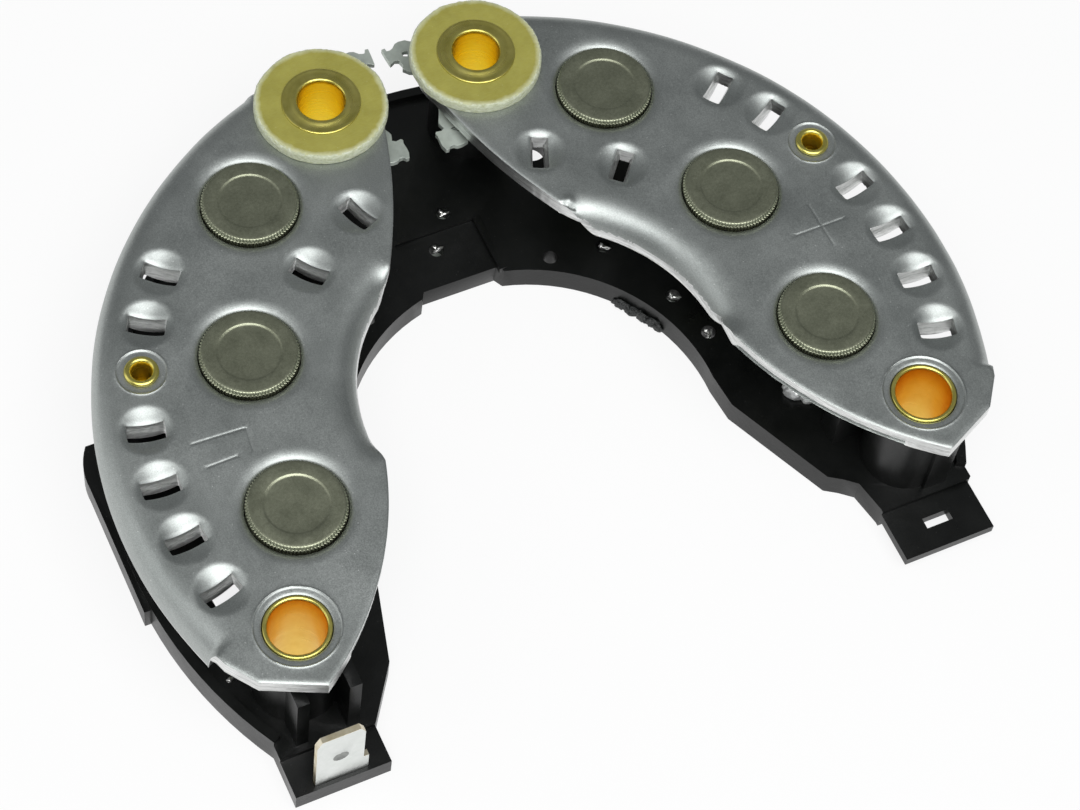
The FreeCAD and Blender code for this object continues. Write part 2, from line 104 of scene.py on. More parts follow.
# Heat sink sheet
SHEET_THICKNESS = 2.2
OUTER_FLAT = 53.4
OUTER_DROP = 4.5
OUTER_START = -21.4
OUTER_END = 72.4
OUTER_EASE = (1.5, 2.6)
OUTER_ALLOWED = (3.85, 2.6)
INNER_FLAT = 29.0
INNER_EDGE = 24.1
INNER_TURN = 82.0
FLANGE_UPPER = (25.55, 61.2)
FLANGE_LOWER = (24.61, -9.12)
FLANGE_DROP = 3.6
FLANGE_FADES = (14.0, 12.0)
LOWER_BULGE = {1: (36.15, -29.91), -1: (35.7, -29.91)}
END_RADIUS = 8.0
SLOT_SIZE = (4.9, 2.4)
SLOT_CORNER = 0.22
SLOT_CORNER_REACH = 2.95
SLOT_PINCH = 0.38
DISH_RADIUS = 3.5
DISH_DEPTH = 0.95
DIODE_GAP = 0.14
COLLAR_WIDTH = 1.9
COLLAR_DROP = 0.5
PRESSED_RINGS = ((BUSH, 5.35), (EYELET, 3.2))
FINE_STEP = 0.3
COARSE_STEP = 0.6
RIM_ROWS = (0.14, 0.32)
MARK_ROWS = (-0.36, -0.2, -0.1, 0.0, 0.1, 0.2, 0.36)
RING_ROWS = (-0.3, -0.16, -0.08, 0.0, 0.08, 0.16, 0.3)
CUT_ROWS = (0.35, 0.8, 1.25, 1.7)
TORN_FROM = 1.1
TORN_DRAW = (0.6, 38.0)
TORN_CLEAR = 5.2
TORN_REACH = 46.0
TORN_EASE = 3.0
PINCH_CREASE = ((25.7, 61.3), (25.3, 57.2))
PINCH_BUMP = (26.35, 59.6)

# Small relief as (depth, width), and waves as (height, features per millimetre)
RING_SEAT = (0.08, 0.2)
RING_BEAD = (0.11, 0.12)
MARK = (0.07, 0.26)
EDGE_FALL = (0.13, 0.45)
CREASE = (0.26, 0.24)
BUMP = (0.3, 0.6)
WAVES = (0.07, 0.11)
RIPPLES = (0.012, 0.35)

PLUS_STROKES = (((38.9, 6.65), (45.96, 6.7)), ((42.55, 9.95), (42.74, 3.4)))
BAR_STROKES = (((45.5, 7.1), (38.5, 6.8)), ((38.5, 6.8), (38.9, 3.4)), ((44.9, 3.4), (40.7, 3.5)))


def polar(radius, degrees):
    turn = math.radians(degrees)
    return np.array((radius * math.cos(turn), radius * math.sin(turn)))


# Slots as (centre, angle) and round holes as (centre, radius)
SLOTS = [(polar(PLATE_OUTER - 6.4, angle), angle) for angle in (38.6, 29.8, 12.5, 3.6, -5.3, -14.4)]
SLOTS += [(polar(33.84, 67.22), 67.22), (polar(33.73, 48.61), 48.61)]
HOLES = [(spot, DIODE_RADIUS + DIODE_GAP) for spot in DIODES]
HOLES += [(BUSH, 4.36), (EYELET, 1.75), (SLEEVE, 3.95)]


def polar_line(radii, turns):
    return np.array([polar(radius, degrees) for radius, degrees in zip(radii, turns)])


def arc_through(first, middle, last, step=FINE_STEP):
    # Points along the arc through three points, the last one left off.
    a, b, c = (complex(*spot) for spot in (first, middle, last))
    ratio = (c - a) / (b - a)
    centre = a + (b - a) * (ratio - abs(ratio) ** 2) / (2j * ratio.imag)
    full = 2 * math.pi
    sweep = cmath.phase((c - centre) / (a - centre)) % full
    if cmath.phase((b - centre) / (a - centre)) % full > sweep:
        sweep -= full
    count = max(2, int(abs(sweep) * abs(a - centre) / step))
    spots = centre + (a - centre) * np.exp(1j * sweep * np.arange(count) / count)
    return np.column_stack((spots.real, spots.imag))


def straight(first, last, step=FINE_STEP):
    first, last = np.array(first, float), np.array(last, float)
    count = max(1, int(np.linalg.norm(last - first) / step))
    return first + (last - first) * (np.arange(count) / count)[:, None]


def ring(centre, radius, step=FINE_STEP):
    count = int(2 * math.pi * radius / step)
    angles = 2 * math.pi * np.arange(count) / count
    return np.asarray(centre) + radius * np.column_stack((np.cos(angles), np.sin(angles)))


def smooth(value):
    value = np.clip(value, 0.0, 1.0)
    return value * value * (3.0 - 2.0 * value)


def lumps(x, y, z):
    return noise.noise(Vector((x, y, z)))


def lumps_at(points, scale, seed):
    return np.array([lumps(x * scale, y * scale, seed) for x, y in points])


class Roll:
    # A smooth bend: the sheet's slope eases from flat to a full turn over a length.
    def __init__(self, run, turn, drop):
        self.turn = math.radians(turn)
        steps = np.linspace(0, 1, 400)
        slope = self.turn * smooth(steps)
        self.length = run / np.trapz(np.cos(slope), steps)
        bend_drop = self.length * np.trapz(np.sin(slope), steps)
        self.straight = max(0.0, (drop - bend_drop) / math.sin(self.turn))
        self.total = self.length + self.straight

    def place(self, distance, weight):
        # Horizontal run, drop and slope at a distance along the surface, the turn scaled by weight.
        share = np.linspace(0, 1, 60)[None, :]
        spots = distance[:, None] * share
        slope = self.turn * smooth(spots / self.length) * weight[:, None]
        run = np.trapz(np.cos(slope), spots, axis=1)
        drop = np.trapz(np.sin(slope), spots, axis=1)
        return run, drop, slope[:, -1]


OUTER_ROLL = Roll(PLATE_OUTER - OUTER_FLAT, 90.0, OUTER_DROP)
INNER_ROLL = Roll(INNER_FLAT - INNER_EDGE, INNER_TURN, FLANGE_DROP)


def eased(angles, start, end, eases):
    # A weight that eases in after the start angle and out before the end one.
    return smooth((angles - start) / eases[0]) * smooth((end - angles) / eases[1])


def roll_weight(angles):
    # How far the outer roll is turned down.
    return eased(angles, OUTER_START, OUTER_END, OUTER_EASE)


def roll_edge(angles):
    # The unrolled radius of the outer edge, which keeps the bent edge inside the plate's outline.
    weights = roll_weight(angles)
    near_end = smooth((angles - OUTER_END + OUTER_EASE[1]) / OUTER_EASE[1])
    allowed = OUTER_ALLOWED[0] + (OUTER_ALLOWED[1] - OUTER_ALLOWED[0]) * near_end + 0.5 * weights
    return OUTER_FLAT + reach_for(OUTER_ROLL, weights, allowed)


def reach_for(roll, weights, runs):
    # How far along the surface a roll of a given weight covers a given horizontal run.
    lengths = np.linspace(0.0, roll.total, 80)
    found = []
    for weight, run in zip(weights, runs):
        covered = roll.place(lengths, np.full(80, weight))[0]
        found.append(np.interp(run, covered, lengths))
    return np.array(found)


def angle_of(points):
    return np.degrees(np.arctan2(points[:, 1], points[:, 0]))


def span(points, spot=0.0):
    # Each point's distance from a spot, which is the shaft's axis where none is given.
    return np.linalg.norm(points - spot, axis=1)


def flange_share(angles):
    # How far the flange is down, as a share of its full drop.
    return eased(angles, FLANGE_LOWER[1], FLANGE_UPPER[1], FLANGE_FADES)


def flange_table():
    # For each angle the turn and the length along the surface that bring the edge to its run and drop.
    angles = np.linspace(FLANGE_LOWER[1], FLANGE_UPPER[1], 120)
    near_low = np.clip(1 - (angles - FLANGE_LOWER[1]) / FLANGE_FADES[0], 0, 1) ** 2
    near_high = np.clip(1 - (FLANGE_UPPER[1] - angles) / FLANGE_FADES[1], 0, 1) ** 2
    plan = INNER_EDGE + (FLANGE_LOWER[0] - INNER_EDGE) * near_low + (FLANGE_UPPER[0] - INNER_EDGE) * near_high
    lengths = np.linspace(0.0, INNER_ROLL.total * 1.3, 90)
    weights, reaches = [], []
    for run, drop in zip(INNER_FLAT - plan, FLANGE_DROP * flange_share(angles)):
        under, over = 0.0, 1.0
        for _ in range(16):
            weight = (under + over) / 2
            covered, fall = INNER_ROLL.place(lengths, np.full(90, weight))[:2]
            if np.interp(run, covered, fall) < drop:
                under = weight
            else:
                over = weight
        weights.append(under)
        reaches.append(np.interp(run, covered, lengths))
    return angles, np.array(weights), np.array(reaches)


FLANGE_TABLE = flange_table()


def flange_weight(angles):
    return np.interp(angles, FLANGE_TABLE[0], FLANGE_TABLE[1], left=0.0, right=0.0)


def flange_edge(angles):
    # The unrolled radius of the flange's lower edge, which runs smoothly on into the flat ends.
    return INNER_FLAT - np.interp(angles, FLANGE_TABLE[0], FLANGE_TABLE[2])


def sheet_outline(side):
    # The flat blank's outline, counter-clockwise from the tip.
    tip = BUSH + (-0.5, -8.5)
    spots = [tip, BUSH + (7.0, -5.0), BUSH + (9.8, -1.2), polar(OUTER_FLAT + OUTER_ALLOWED[0], OUTER_START)]
    parts = [straight(first, last) for first, last in zip(spots, spots[1:])]
    angles = np.linspace(OUTER_START, OUTER_END, int((OUTER_END - OUTER_START) / 0.27), endpoint=False)[1:]
    parts.append(polar_line(roll_edge(angles), angles))
    end = [SLEEVE + polar(END_RADIUS, turn) for turn in (45, 125, 205)]
    parts.append(straight(parts[-1][-1], end[0])[1:])
    parts.append(arc_through(*end))
    parts.append(arc_through(end[2], polar(34.98, 78.71), polar(*FLANGE_UPPER)))
    angles = np.linspace(FLANGE_UPPER[1], FLANGE_LOWER[1], 140, endpoint=False)
    parts.append(polar_line(flange_edge(angles), angles))
    parts.append(arc_through(polar(*FLANGE_LOWER), polar(*LOWER_BULGE[side]), tip))
    return np.vstack(parts)


def slot_loop(centre, angle, grow=0.0):
    # A slot with small corner radii, grown outwards by a distance.
    half_length = SLOT_SIZE[0] / 2 + grow
    half_width = SLOT_SIZE[1] / 2 + grow
    corner = SLOT_CORNER + grow
    points = []
    for sx, sy, start in ((1, -1, -90), (1, 1, 0), (-1, 1, 90), (-1, -1, 180)):
        middle = np.array((sx * (half_length - corner), sy * (half_width - corner)))
        points += [middle + polar(corner, start + turn) for turn in (0, 22, 45, 68, 90)]
    points = np.array(points)
    dense = np.vstack([straight(a, b, 0.24) for a, b in zip(points, np.roll(points, -1, axis=0))])
    return dense @ np.array((polar(1.0, angle), polar(1.0, angle + 90))) + centre


def pinch_slots(points):
    # The slots narrow downwards, where the punch left a lip.
    moved = points.copy()
    for centre, angle in SLOTS:
        across = polar(1.0, angle + 90)
        aside = (points - centre) @ across
        near = (span(points, centre) < SLOT_CORNER_REACH) & (np.abs(aside) < SLOT_SIZE[1] / 2 + 0.05)
        moved[near] -= across * (aside * SLOT_PINCH)[near][:, None]
    return moved


def inside_polygon(points, polygon):
    inside = np.zeros(len(points), bool)
    x, y = points[:, 0], points[:, 1]
    for (ax, ay), (bx, by) in zip(polygon, np.roll(polygon, -1, axis=0)):
        crosses = (ay > y) != (by > y)
        if crosses.any():
            slope_x = ax + (y - ay) * (bx - ax) / (by - ay if by != ay else 1e-12)
            inside ^= crosses & (x < slope_x)
    return inside


def hex_grid(step, low, high):
    rows = []
    row_step = step * math.sqrt(0.75)
    for index, y in enumerate(np.arange(low[1], high[1], row_step)):
        xs = np.arange(low[0] + (index % 2) * step / 2, high[0], step)
        rows.append(np.column_stack((xs, np.full(len(xs), y))))
    return np.vstack(rows)


def in_fine_zone(points):
    radius = span(points)
    fine = (radius > OUTER_FLAT - 0.6) | (radius < INNER_FLAT + 0.6)
    zones = [(spot, DIODE_RADIUS + COLLAR_WIDTH + 0.6) for spot in DIODES]
    zones += [(centre, DISH_RADIUS + 0.5) for centre, angle in SLOTS]
    zones += [(centre, reach + 0.6) for centre, reach in PRESSED_RINGS]
    for centre, reach in zones:
        fine |= span(points, centre) < reach
    return fine


def stroke_rows(strokes):
    rows = []
    for first, last in strokes:
        first, last = np.array(first), np.array(last)
        along = (last - first) / np.linalg.norm(last - first)
        across = np.array((-along[1], along[0]))
        for offset in MARK_ROWS:
            rows.append(straight(first, last, 0.2) + across * offset)
    return np.vstack(rows)


def stroke_distance(points, strokes):
    best = np.full(len(points), 9.0)
    for first, last in strokes:
        first, last = np.array(first), np.array(last)
        along = last - first
        share = np.clip(((points - first) @ along) / (along @ along), 0, 1)
        best = np.minimum(best, np.linalg.norm(points - first - share[:, None] * along, axis=1))
    return best


def nearest_distance(points, targets):
    tree = kdtree.KDTree(len(targets))
    for index, (x, y) in enumerate(targets):
        tree.insert((x, y, 0.0), index)
    tree.balance()
    return np.array([tree.find((x, y, 0.0))[2] for x, y in points])


def ridge(distance, size):
    height, width = size
    return height * np.exp(-(distance / width) ** 2)


def sheet_height(points, edge_distance, strokes, seed, side):
    # How far the sheet's surface stands from its plain bent form, in millimetres.
    height = np.zeros(len(points))
    for centre, angle in SLOTS:
        share = span(points, centre) / DISH_RADIUS
        height -= DISH_DEPTH * np.clip(1.0 - share * share, 0.0, 1.0) ** 1.2
    for spot in DIODES:
        out = (span(points, spot) - DIODE_RADIUS) / COLLAR_WIDTH
        height -= COLLAR_DROP * np.clip(1.0 - out, 0.0, 1.0) ** 2
    for centre, reach in PRESSED_RINGS:
        aside = span(points, centre) - reach
        height -= RING_SEAT[0] * smooth(0.5 - aside / RING_SEAT[1])
        height += ridge(aside, RING_BEAD)
    height -= MARK[0] * smooth(1.0 - stroke_distance(points, strokes) / MARK[1])
    height -= EDGE_FALL[0] * np.clip(1.0 - edge_distance / EDGE_FALL[1], 0.0, 1.0) ** 2
    if side > 0:
        # The pinch where this plate's flange starts: a small bump over a crease.
        height -= ridge(stroke_distance(points, [[polar(*end) for end in PINCH_CREASE]]), CREASE)
        height += ridge(span(points, polar(*PINCH_BUMP)), BUMP)
    height += WAVES[0] * lumps_at(points, WAVES[1], seed)
    return height + RIPPLES[0] * lumps_at(points, RIPPLES[1], seed + 7.0)


def bend_sheet(points, lift):
    # Flat blank to space: both edges rolled down, each point lifted along its own normal.
    radius = span(points)
    angles = angle_of(points)
    way = points / radius[:, None]
    run_radius = radius.copy()
    drop = np.zeros(len(points))
    slope = np.zeros(len(points))
    rolls = (
        (radius > OUTER_FLAT, OUTER_FLAT, 1.0, OUTER_ROLL, roll_weight),
        (radius < INNER_FLAT, INNER_FLAT, -1.0, INNER_ROLL, flange_weight),
    )
    for rolled, flat_end, sign, roll, weight in rolls:
        if rolled.any():
            distance = sign * (radius[rolled] - flat_end)
            run, fall, tilt = roll.place(distance, weight(angles[rolled]))
            run_radius[rolled] = flat_end + sign * run
            drop[rolled] = fall
            slope[rolled] = sign * tilt
    flat = way * (run_radius + np.sin(slope) * lift)[:, None]
    return np.column_stack((flat, PLATE_TOP - drop + np.cos(slope) * lift))


def link_object(name, data, materials=()):
    for item in materials:
        data.materials.append(item)
    obj = bpy.data.objects.new(name, data)
    bpy.context.scene.collection.objects.link(obj)
    return obj


def mesh_object(name, mesh, materials):
    # The object of a finished bmesh.
    data = bpy.data.meshes.new(name)
    mesh.to_mesh(data)
    mesh.free()
    return link_object(name, data, materials)


def new_object(name, verts, faces, materials, slots=None, smooth_angle=38.0):
    mesh = bpy.data.meshes.new(name)
    mesh.from_pydata([tuple(v) for v in np.asarray(verts) * MM], [], faces)
    obj = link_object(name, mesh, materials)
    if slots is not None:
        mesh.polygons.foreach_set("material_index", slots)
    mesh.shade_smooth()
    mesh.update()
    mesh.set_sharp_from_angle(angle=math.radians(smooth_angle))
    mesh.validate()
    return obj


def inside_any(points, loops):
    inside = np.zeros(len(points), bool)
    for loop in loops:
        inside |= inside_polygon(points, loop)
    return inside


def triangulate(outlines, holes, loose=()):
    # Points and triangles inside the outlines and outside the holes, through the loose points too.
    edges = []
    start = 0
    for loop in outlines + holes:
        edges += [(start + i, start + (i + 1) % len(loop)) for i in range(len(loop))]
        start += len(loop)
    points = np.vstack(outlines + holes + list(loose))
    result = delaunay_2d_cdt([Vector(p) for p in points], edges, [], 0, 1e-7)
    flat = np.array([tuple(v) for v in result[0]])
    faces = np.array([f for f in result[2] if len(f) == 3])
    middle = flat[faces].mean(axis=1)
    return flat, faces[inside_any(middle, outlines) & ~inside_any(middle, holes)]


def sheet_grid(outline, slots, strokes, dense):
    # The blank's inner points: finer by bends, holes and slots, in rows along marks and pressed rings.
    low, high = outline.min(axis=0) - 1, outline.max(axis=0) + 1
    fine = hex_grid(FINE_STEP * 1.25, low, high)
    coarse = hex_grid(COARSE_STEP, low, high)
    grid = np.vstack((fine[in_fine_zone(fine)], coarse[~in_fine_zone(coarse)]))
    grid = grid[stroke_distance(grid, strokes) > 0.5]
    rows = [stroke_rows(strokes)]
    for centre, reach in PRESSED_RINGS:
        grid = grid[np.abs(span(grid, centre) - reach) > 0.42]
        rows += [ring(centre, reach + aside, 0.22) for aside in RING_ROWS]
    grid = np.vstack([grid] + rows)
    grid = grid[inside_polygon(grid, outline)]
    grid = grid[nearest_distance(grid, dense) > 0.5]
    for spot, radius in HOLES:
        grid = grid[span(grid, spot) > radius]
    return grid[~inside_any(grid, slots)]


def rim_rows(outline, dense):
    # Rows of points just inside the outline and round each hole and slot.
    along = np.roll(outline, -1, axis=0) - np.roll(outline, 1, axis=0)
    along /= span(along)[:, None]
    inward = np.column_stack((-along[:, 1], along[:, 0]))
    rows = []
    for distance in RIM_ROWS:
        row = outline + inward * distance
        row = row[nearest_distance(row, dense) > distance * 0.93]
        rows.append(row[inside_polygon(row, outline)])
        rows += [ring(spot, radius + distance) for spot, radius in HOLES]
        rows += [slot_loop(centre, angle, distance) for centre, angle in SLOTS]
    return rows


def flat_blank(side, strokes):
    # The flat blank's points and faces, and each point's distance from the nearest cut edge.
    outline = sheet_outline(side)
    slots = [slot_loop(*spot) for spot in SLOTS]
    openings = [ring(*hole) for hole in HOLES] + slots
    dense = []
    for loop in [outline] + openings:
        step = np.roll(loop, -1, axis=0) - loop
        dense += [loop + step * share for share in (0, 0.25, 0.5, 0.75)]
    dense = np.vstack(dense)
    inner = rim_rows(outline, dense) + [sheet_grid(outline, slots, strokes, dense)]
    flat, faces = triangulate([outline], openings, inner)
    a, b, c = (flat[faces[:, corner]] for corner in range(3))
    area = (b[:, 0] - a[:, 0]) * (c[:, 1] - a[:, 1]) - (b[:, 1] - a[:, 1]) * (c[:, 0] - a[:, 0])
    faces[area < 0] = faces[area < 0][:, ::-1]
    return flat, faces, nearest_distance(flat, dense)


def torn_edge(flat, on_rim):
    # How far the torn lower part of the cut draws back, on the edge from the flange to the tip.
    angles = angle_of(flat)
    torn = on_rim & (angles < FLANGE_LOWER[1]) & (span(flat, BUSH) > TORN_CLEAR) & (span(flat) < TORN_REACH)
    drawn = np.zeros_like(flat)
    drawn[torn] = polar(*TORN_DRAW) * smooth((FLANGE_LOWER[1] - angles[torn]) / TORN_EASE)[:, None]
    return drawn


def bent_rim(flat, on_rim):
    # The rim points under a roll or the flange, where the cut goes straight down.
    radius, angles = span(flat), angle_of(flat)
    flange = (radius < INNER_FLAT - 1.0) & (flange_weight(angles) > 0)
    return on_rim & (angles > OUTER_START) & (angles < OUTER_END) & ((radius > OUTER_FLAT + 2.5) | flange)


def underside(flat, height, top, on_rim, drawn, bent, seed):
    rough = lumps_at(flat, 0.9, seed + 3.0)
    bottom = bend_sheet(flat, height - SHEET_THICKNESS + 0.05 * rough)
    pinched = pinch_slots(flat)
    lip = on_rim & (span(pinched, flat) > 0.01)
    bottom[lip] = bend_sheet(pinched[lip], height[lip] - SHEET_THICKNESS - 0.1)
    bottom[:, :2] += drawn
    lowest = np.minimum(top[:, 2] - 0.3, PLATE_TOP - SHEET_THICKNESS)
    bottom[bent] = np.column_stack((top[:, :2], lowest))[bent]
    return bottom


def cut_faces(flat, faces, height, top, bottom, drawn, bent, seed):
    # Rows of points down the thickness, with the torn lower part a little rough, and their faces.
    directed = dict.fromkeys((f[a], f[b]) for f in faces.tolist() for a, b in ((0, 1), (1, 2), (2, 0)))
    rim = np.array([(i, j) for i, j in directed if (j, i) not in directed])
    points, rim = np.unique(rim, return_inverse=True)
    spots, drawn, bent = flat[points], drawn[points], bent[points]
    pinched = pinch_slots(spots)
    fall = bottom[points][bent] - top[points][bent]
    rows = []
    ladder = [points]
    for depth in CUT_ROWS:
        row = bend_sheet(spots + (pinched - spots) * smooth((depth - 0.3) / 1.6), height[points] - depth)
        row[bent] = top[points][bent] + fall * depth / SHEET_THICKNESS
        row[:, :2] += drawn * max(0.0, depth - TORN_FROM) / (SHEET_THICKNESS - TORN_FROM)
        row[:, :2] += 0.045 * (depth > 0.6) * lumps_at(spots, 1.7, depth * 2.0 + seed)[:, None]
        ladder.append(2 * len(flat) + len(points) * len(rows) + np.arange(len(points)))
        rows.append(row)
    ladder = np.array(ladder + [points + len(flat)]).tolist()
    made = []
    for i, j in rim.reshape(-1, 2):
        made += [(high[j], high[i], low[i], low[j]) for high, low in zip(ladder, ladder[1:])]
    return rows, made


def heat_sink(side, strokes, seed, materials):
    flat, faces, edge_distance = flat_blank(side, strokes)
    on_rim = edge_distance < 0.01
    height = sheet_height(flat, edge_distance, strokes, seed, side)
    drawn, bent = torn_edge(flat, on_rim), bent_rim(flat, on_rim)
    top = bend_sheet(flat, height)
    bottom = underside(flat, height, top, on_rim, drawn, bent, seed)
    rows, cut = cut_faces(flat, faces, height, top, bottom, drawn, bent, seed)

    # A band along the flange's lower edge is as bright as the cut faces.
    middles = flat[faces].mean(axis=1)
    turns = angle_of(middles)
    band = span(middles) < flange_edge(turns) + smooth((flange_share(turns) - 0.3) / 0.5)
    upper = faces.tolist()
    lower = (faces[:, ::-1] + len(flat)).tolist()
    slots = band.astype(int).tolist() + [0] * len(lower) + [1] * len(cut)
    verts = np.vstack([top, bottom] + rows)
    all_faces = [tuple(f) for f in upper + lower + cut]
    if side < 0:
        verts[:, 0] *= -1
        all_faces = [f[::-1] for f in all_faces]
    return new_object(SIDES[side] + "_sheet", verts, all_faces, materials, slots)


def lathe(profile, segments, centre, side=1, warp=None):
    # A profile of (radius, height) turned about the upright axis at centre. A zero radius makes a pole,
    # and warp changes the radii and heights, which it takes with the angles.
    rows = len(profile)
    radii, heights = (np.repeat(values[None, :], segments, axis=0) for values in np.array(profile, float).T)
    turns = np.repeat((2 * math.pi * np.arange(segments) / segments)[:, None], rows, axis=1)
    if warp is not None:
        radii, heights = warp(radii, heights, turns)
    x = centre[0] * side + radii * np.cos(turns)
    y = centre[1] + radii * np.sin(turns)
    verts = np.stack((x, y, heights), axis=2).reshape(-1, 3)
    faces = []
    for i in range(segments):
        a, b = i * rows, (i + 1) % segments * rows
        faces += [(a + n, b + n, b + n + 1, a + n + 1) for n in range(rows - 1)]
    return verts, faces


WELD = 0.002


def welded(obj):
    mesh = bmesh.new()
    mesh.from_mesh(obj.data)
    bmesh.ops.remove_doubles(mesh, verts=mesh.verts, dist=WELD * MM)
    bmesh.ops.dissolve_degenerate(mesh, edges=mesh.edges, dist=WELD * MM * 0.5)
    bmesh.ops.recalc_face_normals(mesh, faces=mesh.faces)
    mesh.to_mesh(obj.data)
    mesh.free()
    return obj


def turned_piece(name, profile, segments, centre, side, materials, warp=None, closed=True, angle=38.0):
    if closed:
        profile = profile + profile[:1]
    verts, faces = lathe(profile, segments, centre, side, warp)
    obj = new_object(name, verts, faces, materials, None, angle)
    welded(obj)
    obj.data.set_sharp_from_angle(angle=math.radians(angle))
    return obj


def prism_piece(name, outlines, holes, z_low, z_high, materials, bevel):
    # An upright plate that covers several overlapping outlines, less its holes, its edges rounded.
    mesh = bmesh.new()
    flat, faces = triangulate(outlines, holes)
    corners = [mesh.verts.new((x * MM, y * MM, z_low * MM)) for x, y in flat]
    for face in faces:
        mesh.faces.new([corners[i] for i in face])
    bmesh.ops.dissolve_limit(mesh, angle_limit=0.01, verts=mesh.verts, edges=mesh.edges, delimit=set())
    result = bmesh.ops.extrude_face_region(mesh, geom=list(mesh.faces))
    moved = [v for v in result["geom"] if isinstance(v, bmesh.types.BMVert)]
    bmesh.ops.translate(mesh, vec=(0, 0, (z_high - z_low) * MM), verts=moved)
    loose = [v for v in mesh.verts if not v.link_faces]
    bmesh.ops.delete(mesh, geom=loose, context="VERTS")
    bmesh.ops.recalc_face_normals(mesh, faces=mesh.faces)
    return soften(mesh_object(name, mesh, materials), bevel)


def soften(obj, width, segments=2):
    modifier = obj.modifiers.new("edges", "BEVEL")
    modifier.width = width * MM
    modifier.segments = segments
    modifier.limit_method = "ANGLE"
    modifier.angle_limit = math.radians(35)
    modifier.harden_normals = True
    obj.data.shade_smooth()
    obj.data.set_sharp_from_angle(angle=math.radians(40))
    return obj


# Materials


class Shading:
    # The node tree of a material or of the world, empty at first.
    def __init__(self, owner):
        owner.use_nodes = True
        self.tree = owner.node_tree
        self.tree.nodes.clear()

    def feed(self, socket, value):
        # A socket takes another node's output or a constant value.
        if isinstance(value, bpy.types.NodeSocket):
            self.tree.links.new(value, socket)
        elif socket.type == "RGBA":
            socket.default_value = (*value, 1.0)
        else:
            socket.default_value = value

    def node(self, kind, inputs=None, **settings):
        made = self.tree.nodes.new("ShaderNode" + kind)
        for key, value in settings.items():
            setattr(made, key, value)
        for socket, value in (inputs or {}).items():
            self.feed(made.inputs[socket], value)
        return made


class Surface(Shading):
    # A material whose colour, roughness and relief come from procedural patterns in object space.
    def __init__(self, name, colour, roughness, metallic=0.0):
        self.material = bpy.data.materials.new(name)
        super().__init__(self.material)
        self.output = self.node("OutputMaterial")
        self.shader = self.node("BsdfPrincipled")
        self.feed(self.output.inputs[0], self.shader.outputs[0])
        self.set({"Base Color": colour, "Roughness": roughness, "Metallic": metallic})
        self.coordinates = self.node("TexCoord").outputs["Object"]
        self.relief = None

    def set(self, inputs):
        for socket, value in inputs.items():
            self.feed(self.shader.inputs[socket], value)

    def pattern(self, kind, scale, turn=0.0, **inputs):
        # A texture with its scale in features per millimetre by axis, turned about the upright one.
        if not isinstance(scale, tuple):
            scale = (scale, scale, scale)
        sizes = tuple(value / MM for value in scale)
        mapping = {"Rotation": (0, 0, math.radians(turn)), "Scale": sizes, "Vector": self.coordinates}
        vector = self.node("Mapping", mapping).outputs[0]
        return self.node(kind, {**inputs, "Scale": 1.0, "Vector": vector}).outputs

    def noise(self, scale, detail=4.0, rough=0.6, turn=0.0):
        return self.pattern("TexNoise", scale, turn, Detail=detail, Roughness=rough)["Fac"]

    def dots(self, scale, size, randomness=1.0):
        # Scattered round dots, 1 at their middles and 0 from their rims on.
        cells = self.pattern("TexVoronoi", scale, Randomness=randomness)["Distance"]
        return self.ramp(cells, (0.0, 1.0), (size, 0.0))

    def reach(self, centre):
        # Distance in millimetres from an upright axis, the same on both sides of the piece.
        folded = self.node("VectorMath", {0: self.coordinates}, operation="ABSOLUTE").outputs[0]
        level = {0: folded, 1: (1.0 / MM, 1.0 / MM, 0.0)}
        ends = {0: self.node("VectorMath", level, operation="MULTIPLY").outputs[0], 1: (*centre, 0.0)}
        return self.node("VectorMath", ends, operation="DISTANCE").outputs["Value"]

    def ramp(self, value, *stops):
        made = self.node("ValToRGB", {0: value})
        band = made.color_ramp
        while len(band.elements) < len(stops):
            band.elements.new(0.5)
        for element, (place, colour) in zip(band.elements, stops):
            element.position = place
            if not isinstance(colour, tuple):
                colour = (colour, colour, colour)
            element.color = (*colour, 1.0)
        return made.outputs[0]

    def spread(self, value, from_low, from_high, to_low, to_high):
        inputs = {"From Min": from_low, "From Max": from_high, "To Min": to_low, "To Max": to_high}
        return self.node("MapRange", {**inputs, "Value": value}).outputs[0]

    def tones(self, pattern, low, high):
        # The low tone where a pattern is weak and the high one where it is strong.
        return self.ramp(pattern, (0.3, low), (0.7, high))

    def varied(self, pattern, low, high):
        return self.spread(pattern, 0.3, 0.7, low, high)

    def maths(self, operation, first, second):
        return self.node("Math", {0: first, 1: second}, operation=operation).outputs[0]

    def mixed(self, share, first, second, blend="MIX"):
        inputs = {0: share, 6: first, 7: second}
        return self.node("Mix", inputs, data_type="RGBA", blend_type=blend).outputs[2]

    def shaded(self, tone, pattern, low, high):
        return self.mixed(1.0, tone, self.ramp(pattern, low, high), "MULTIPLY")

    def marked(self, tone, mask, strength, colour):
        return self.mixed(self.maths("MULTIPLY", mask, strength), tone, colour)

    def colour(self, value):
        self.set({"Base Color": value})

    def roughness(self, value):
        self.set({"Roughness": value})

    def see_through(self, weight, radius, scale):
        self.set({"Subsurface Weight": weight, "Subsurface Radius": radius, "Subsurface Scale": scale * MM})

    def bump(self, height, strength, distance=0.05):
        inputs = {"Strength": strength, "Distance": distance * MM, "Height": height}
        if self.relief is not None:
            inputs["Normal"] = self.relief
        self.relief = self.node("Bump", inputs).outputs[0]
        self.set({"Normal": self.relief})


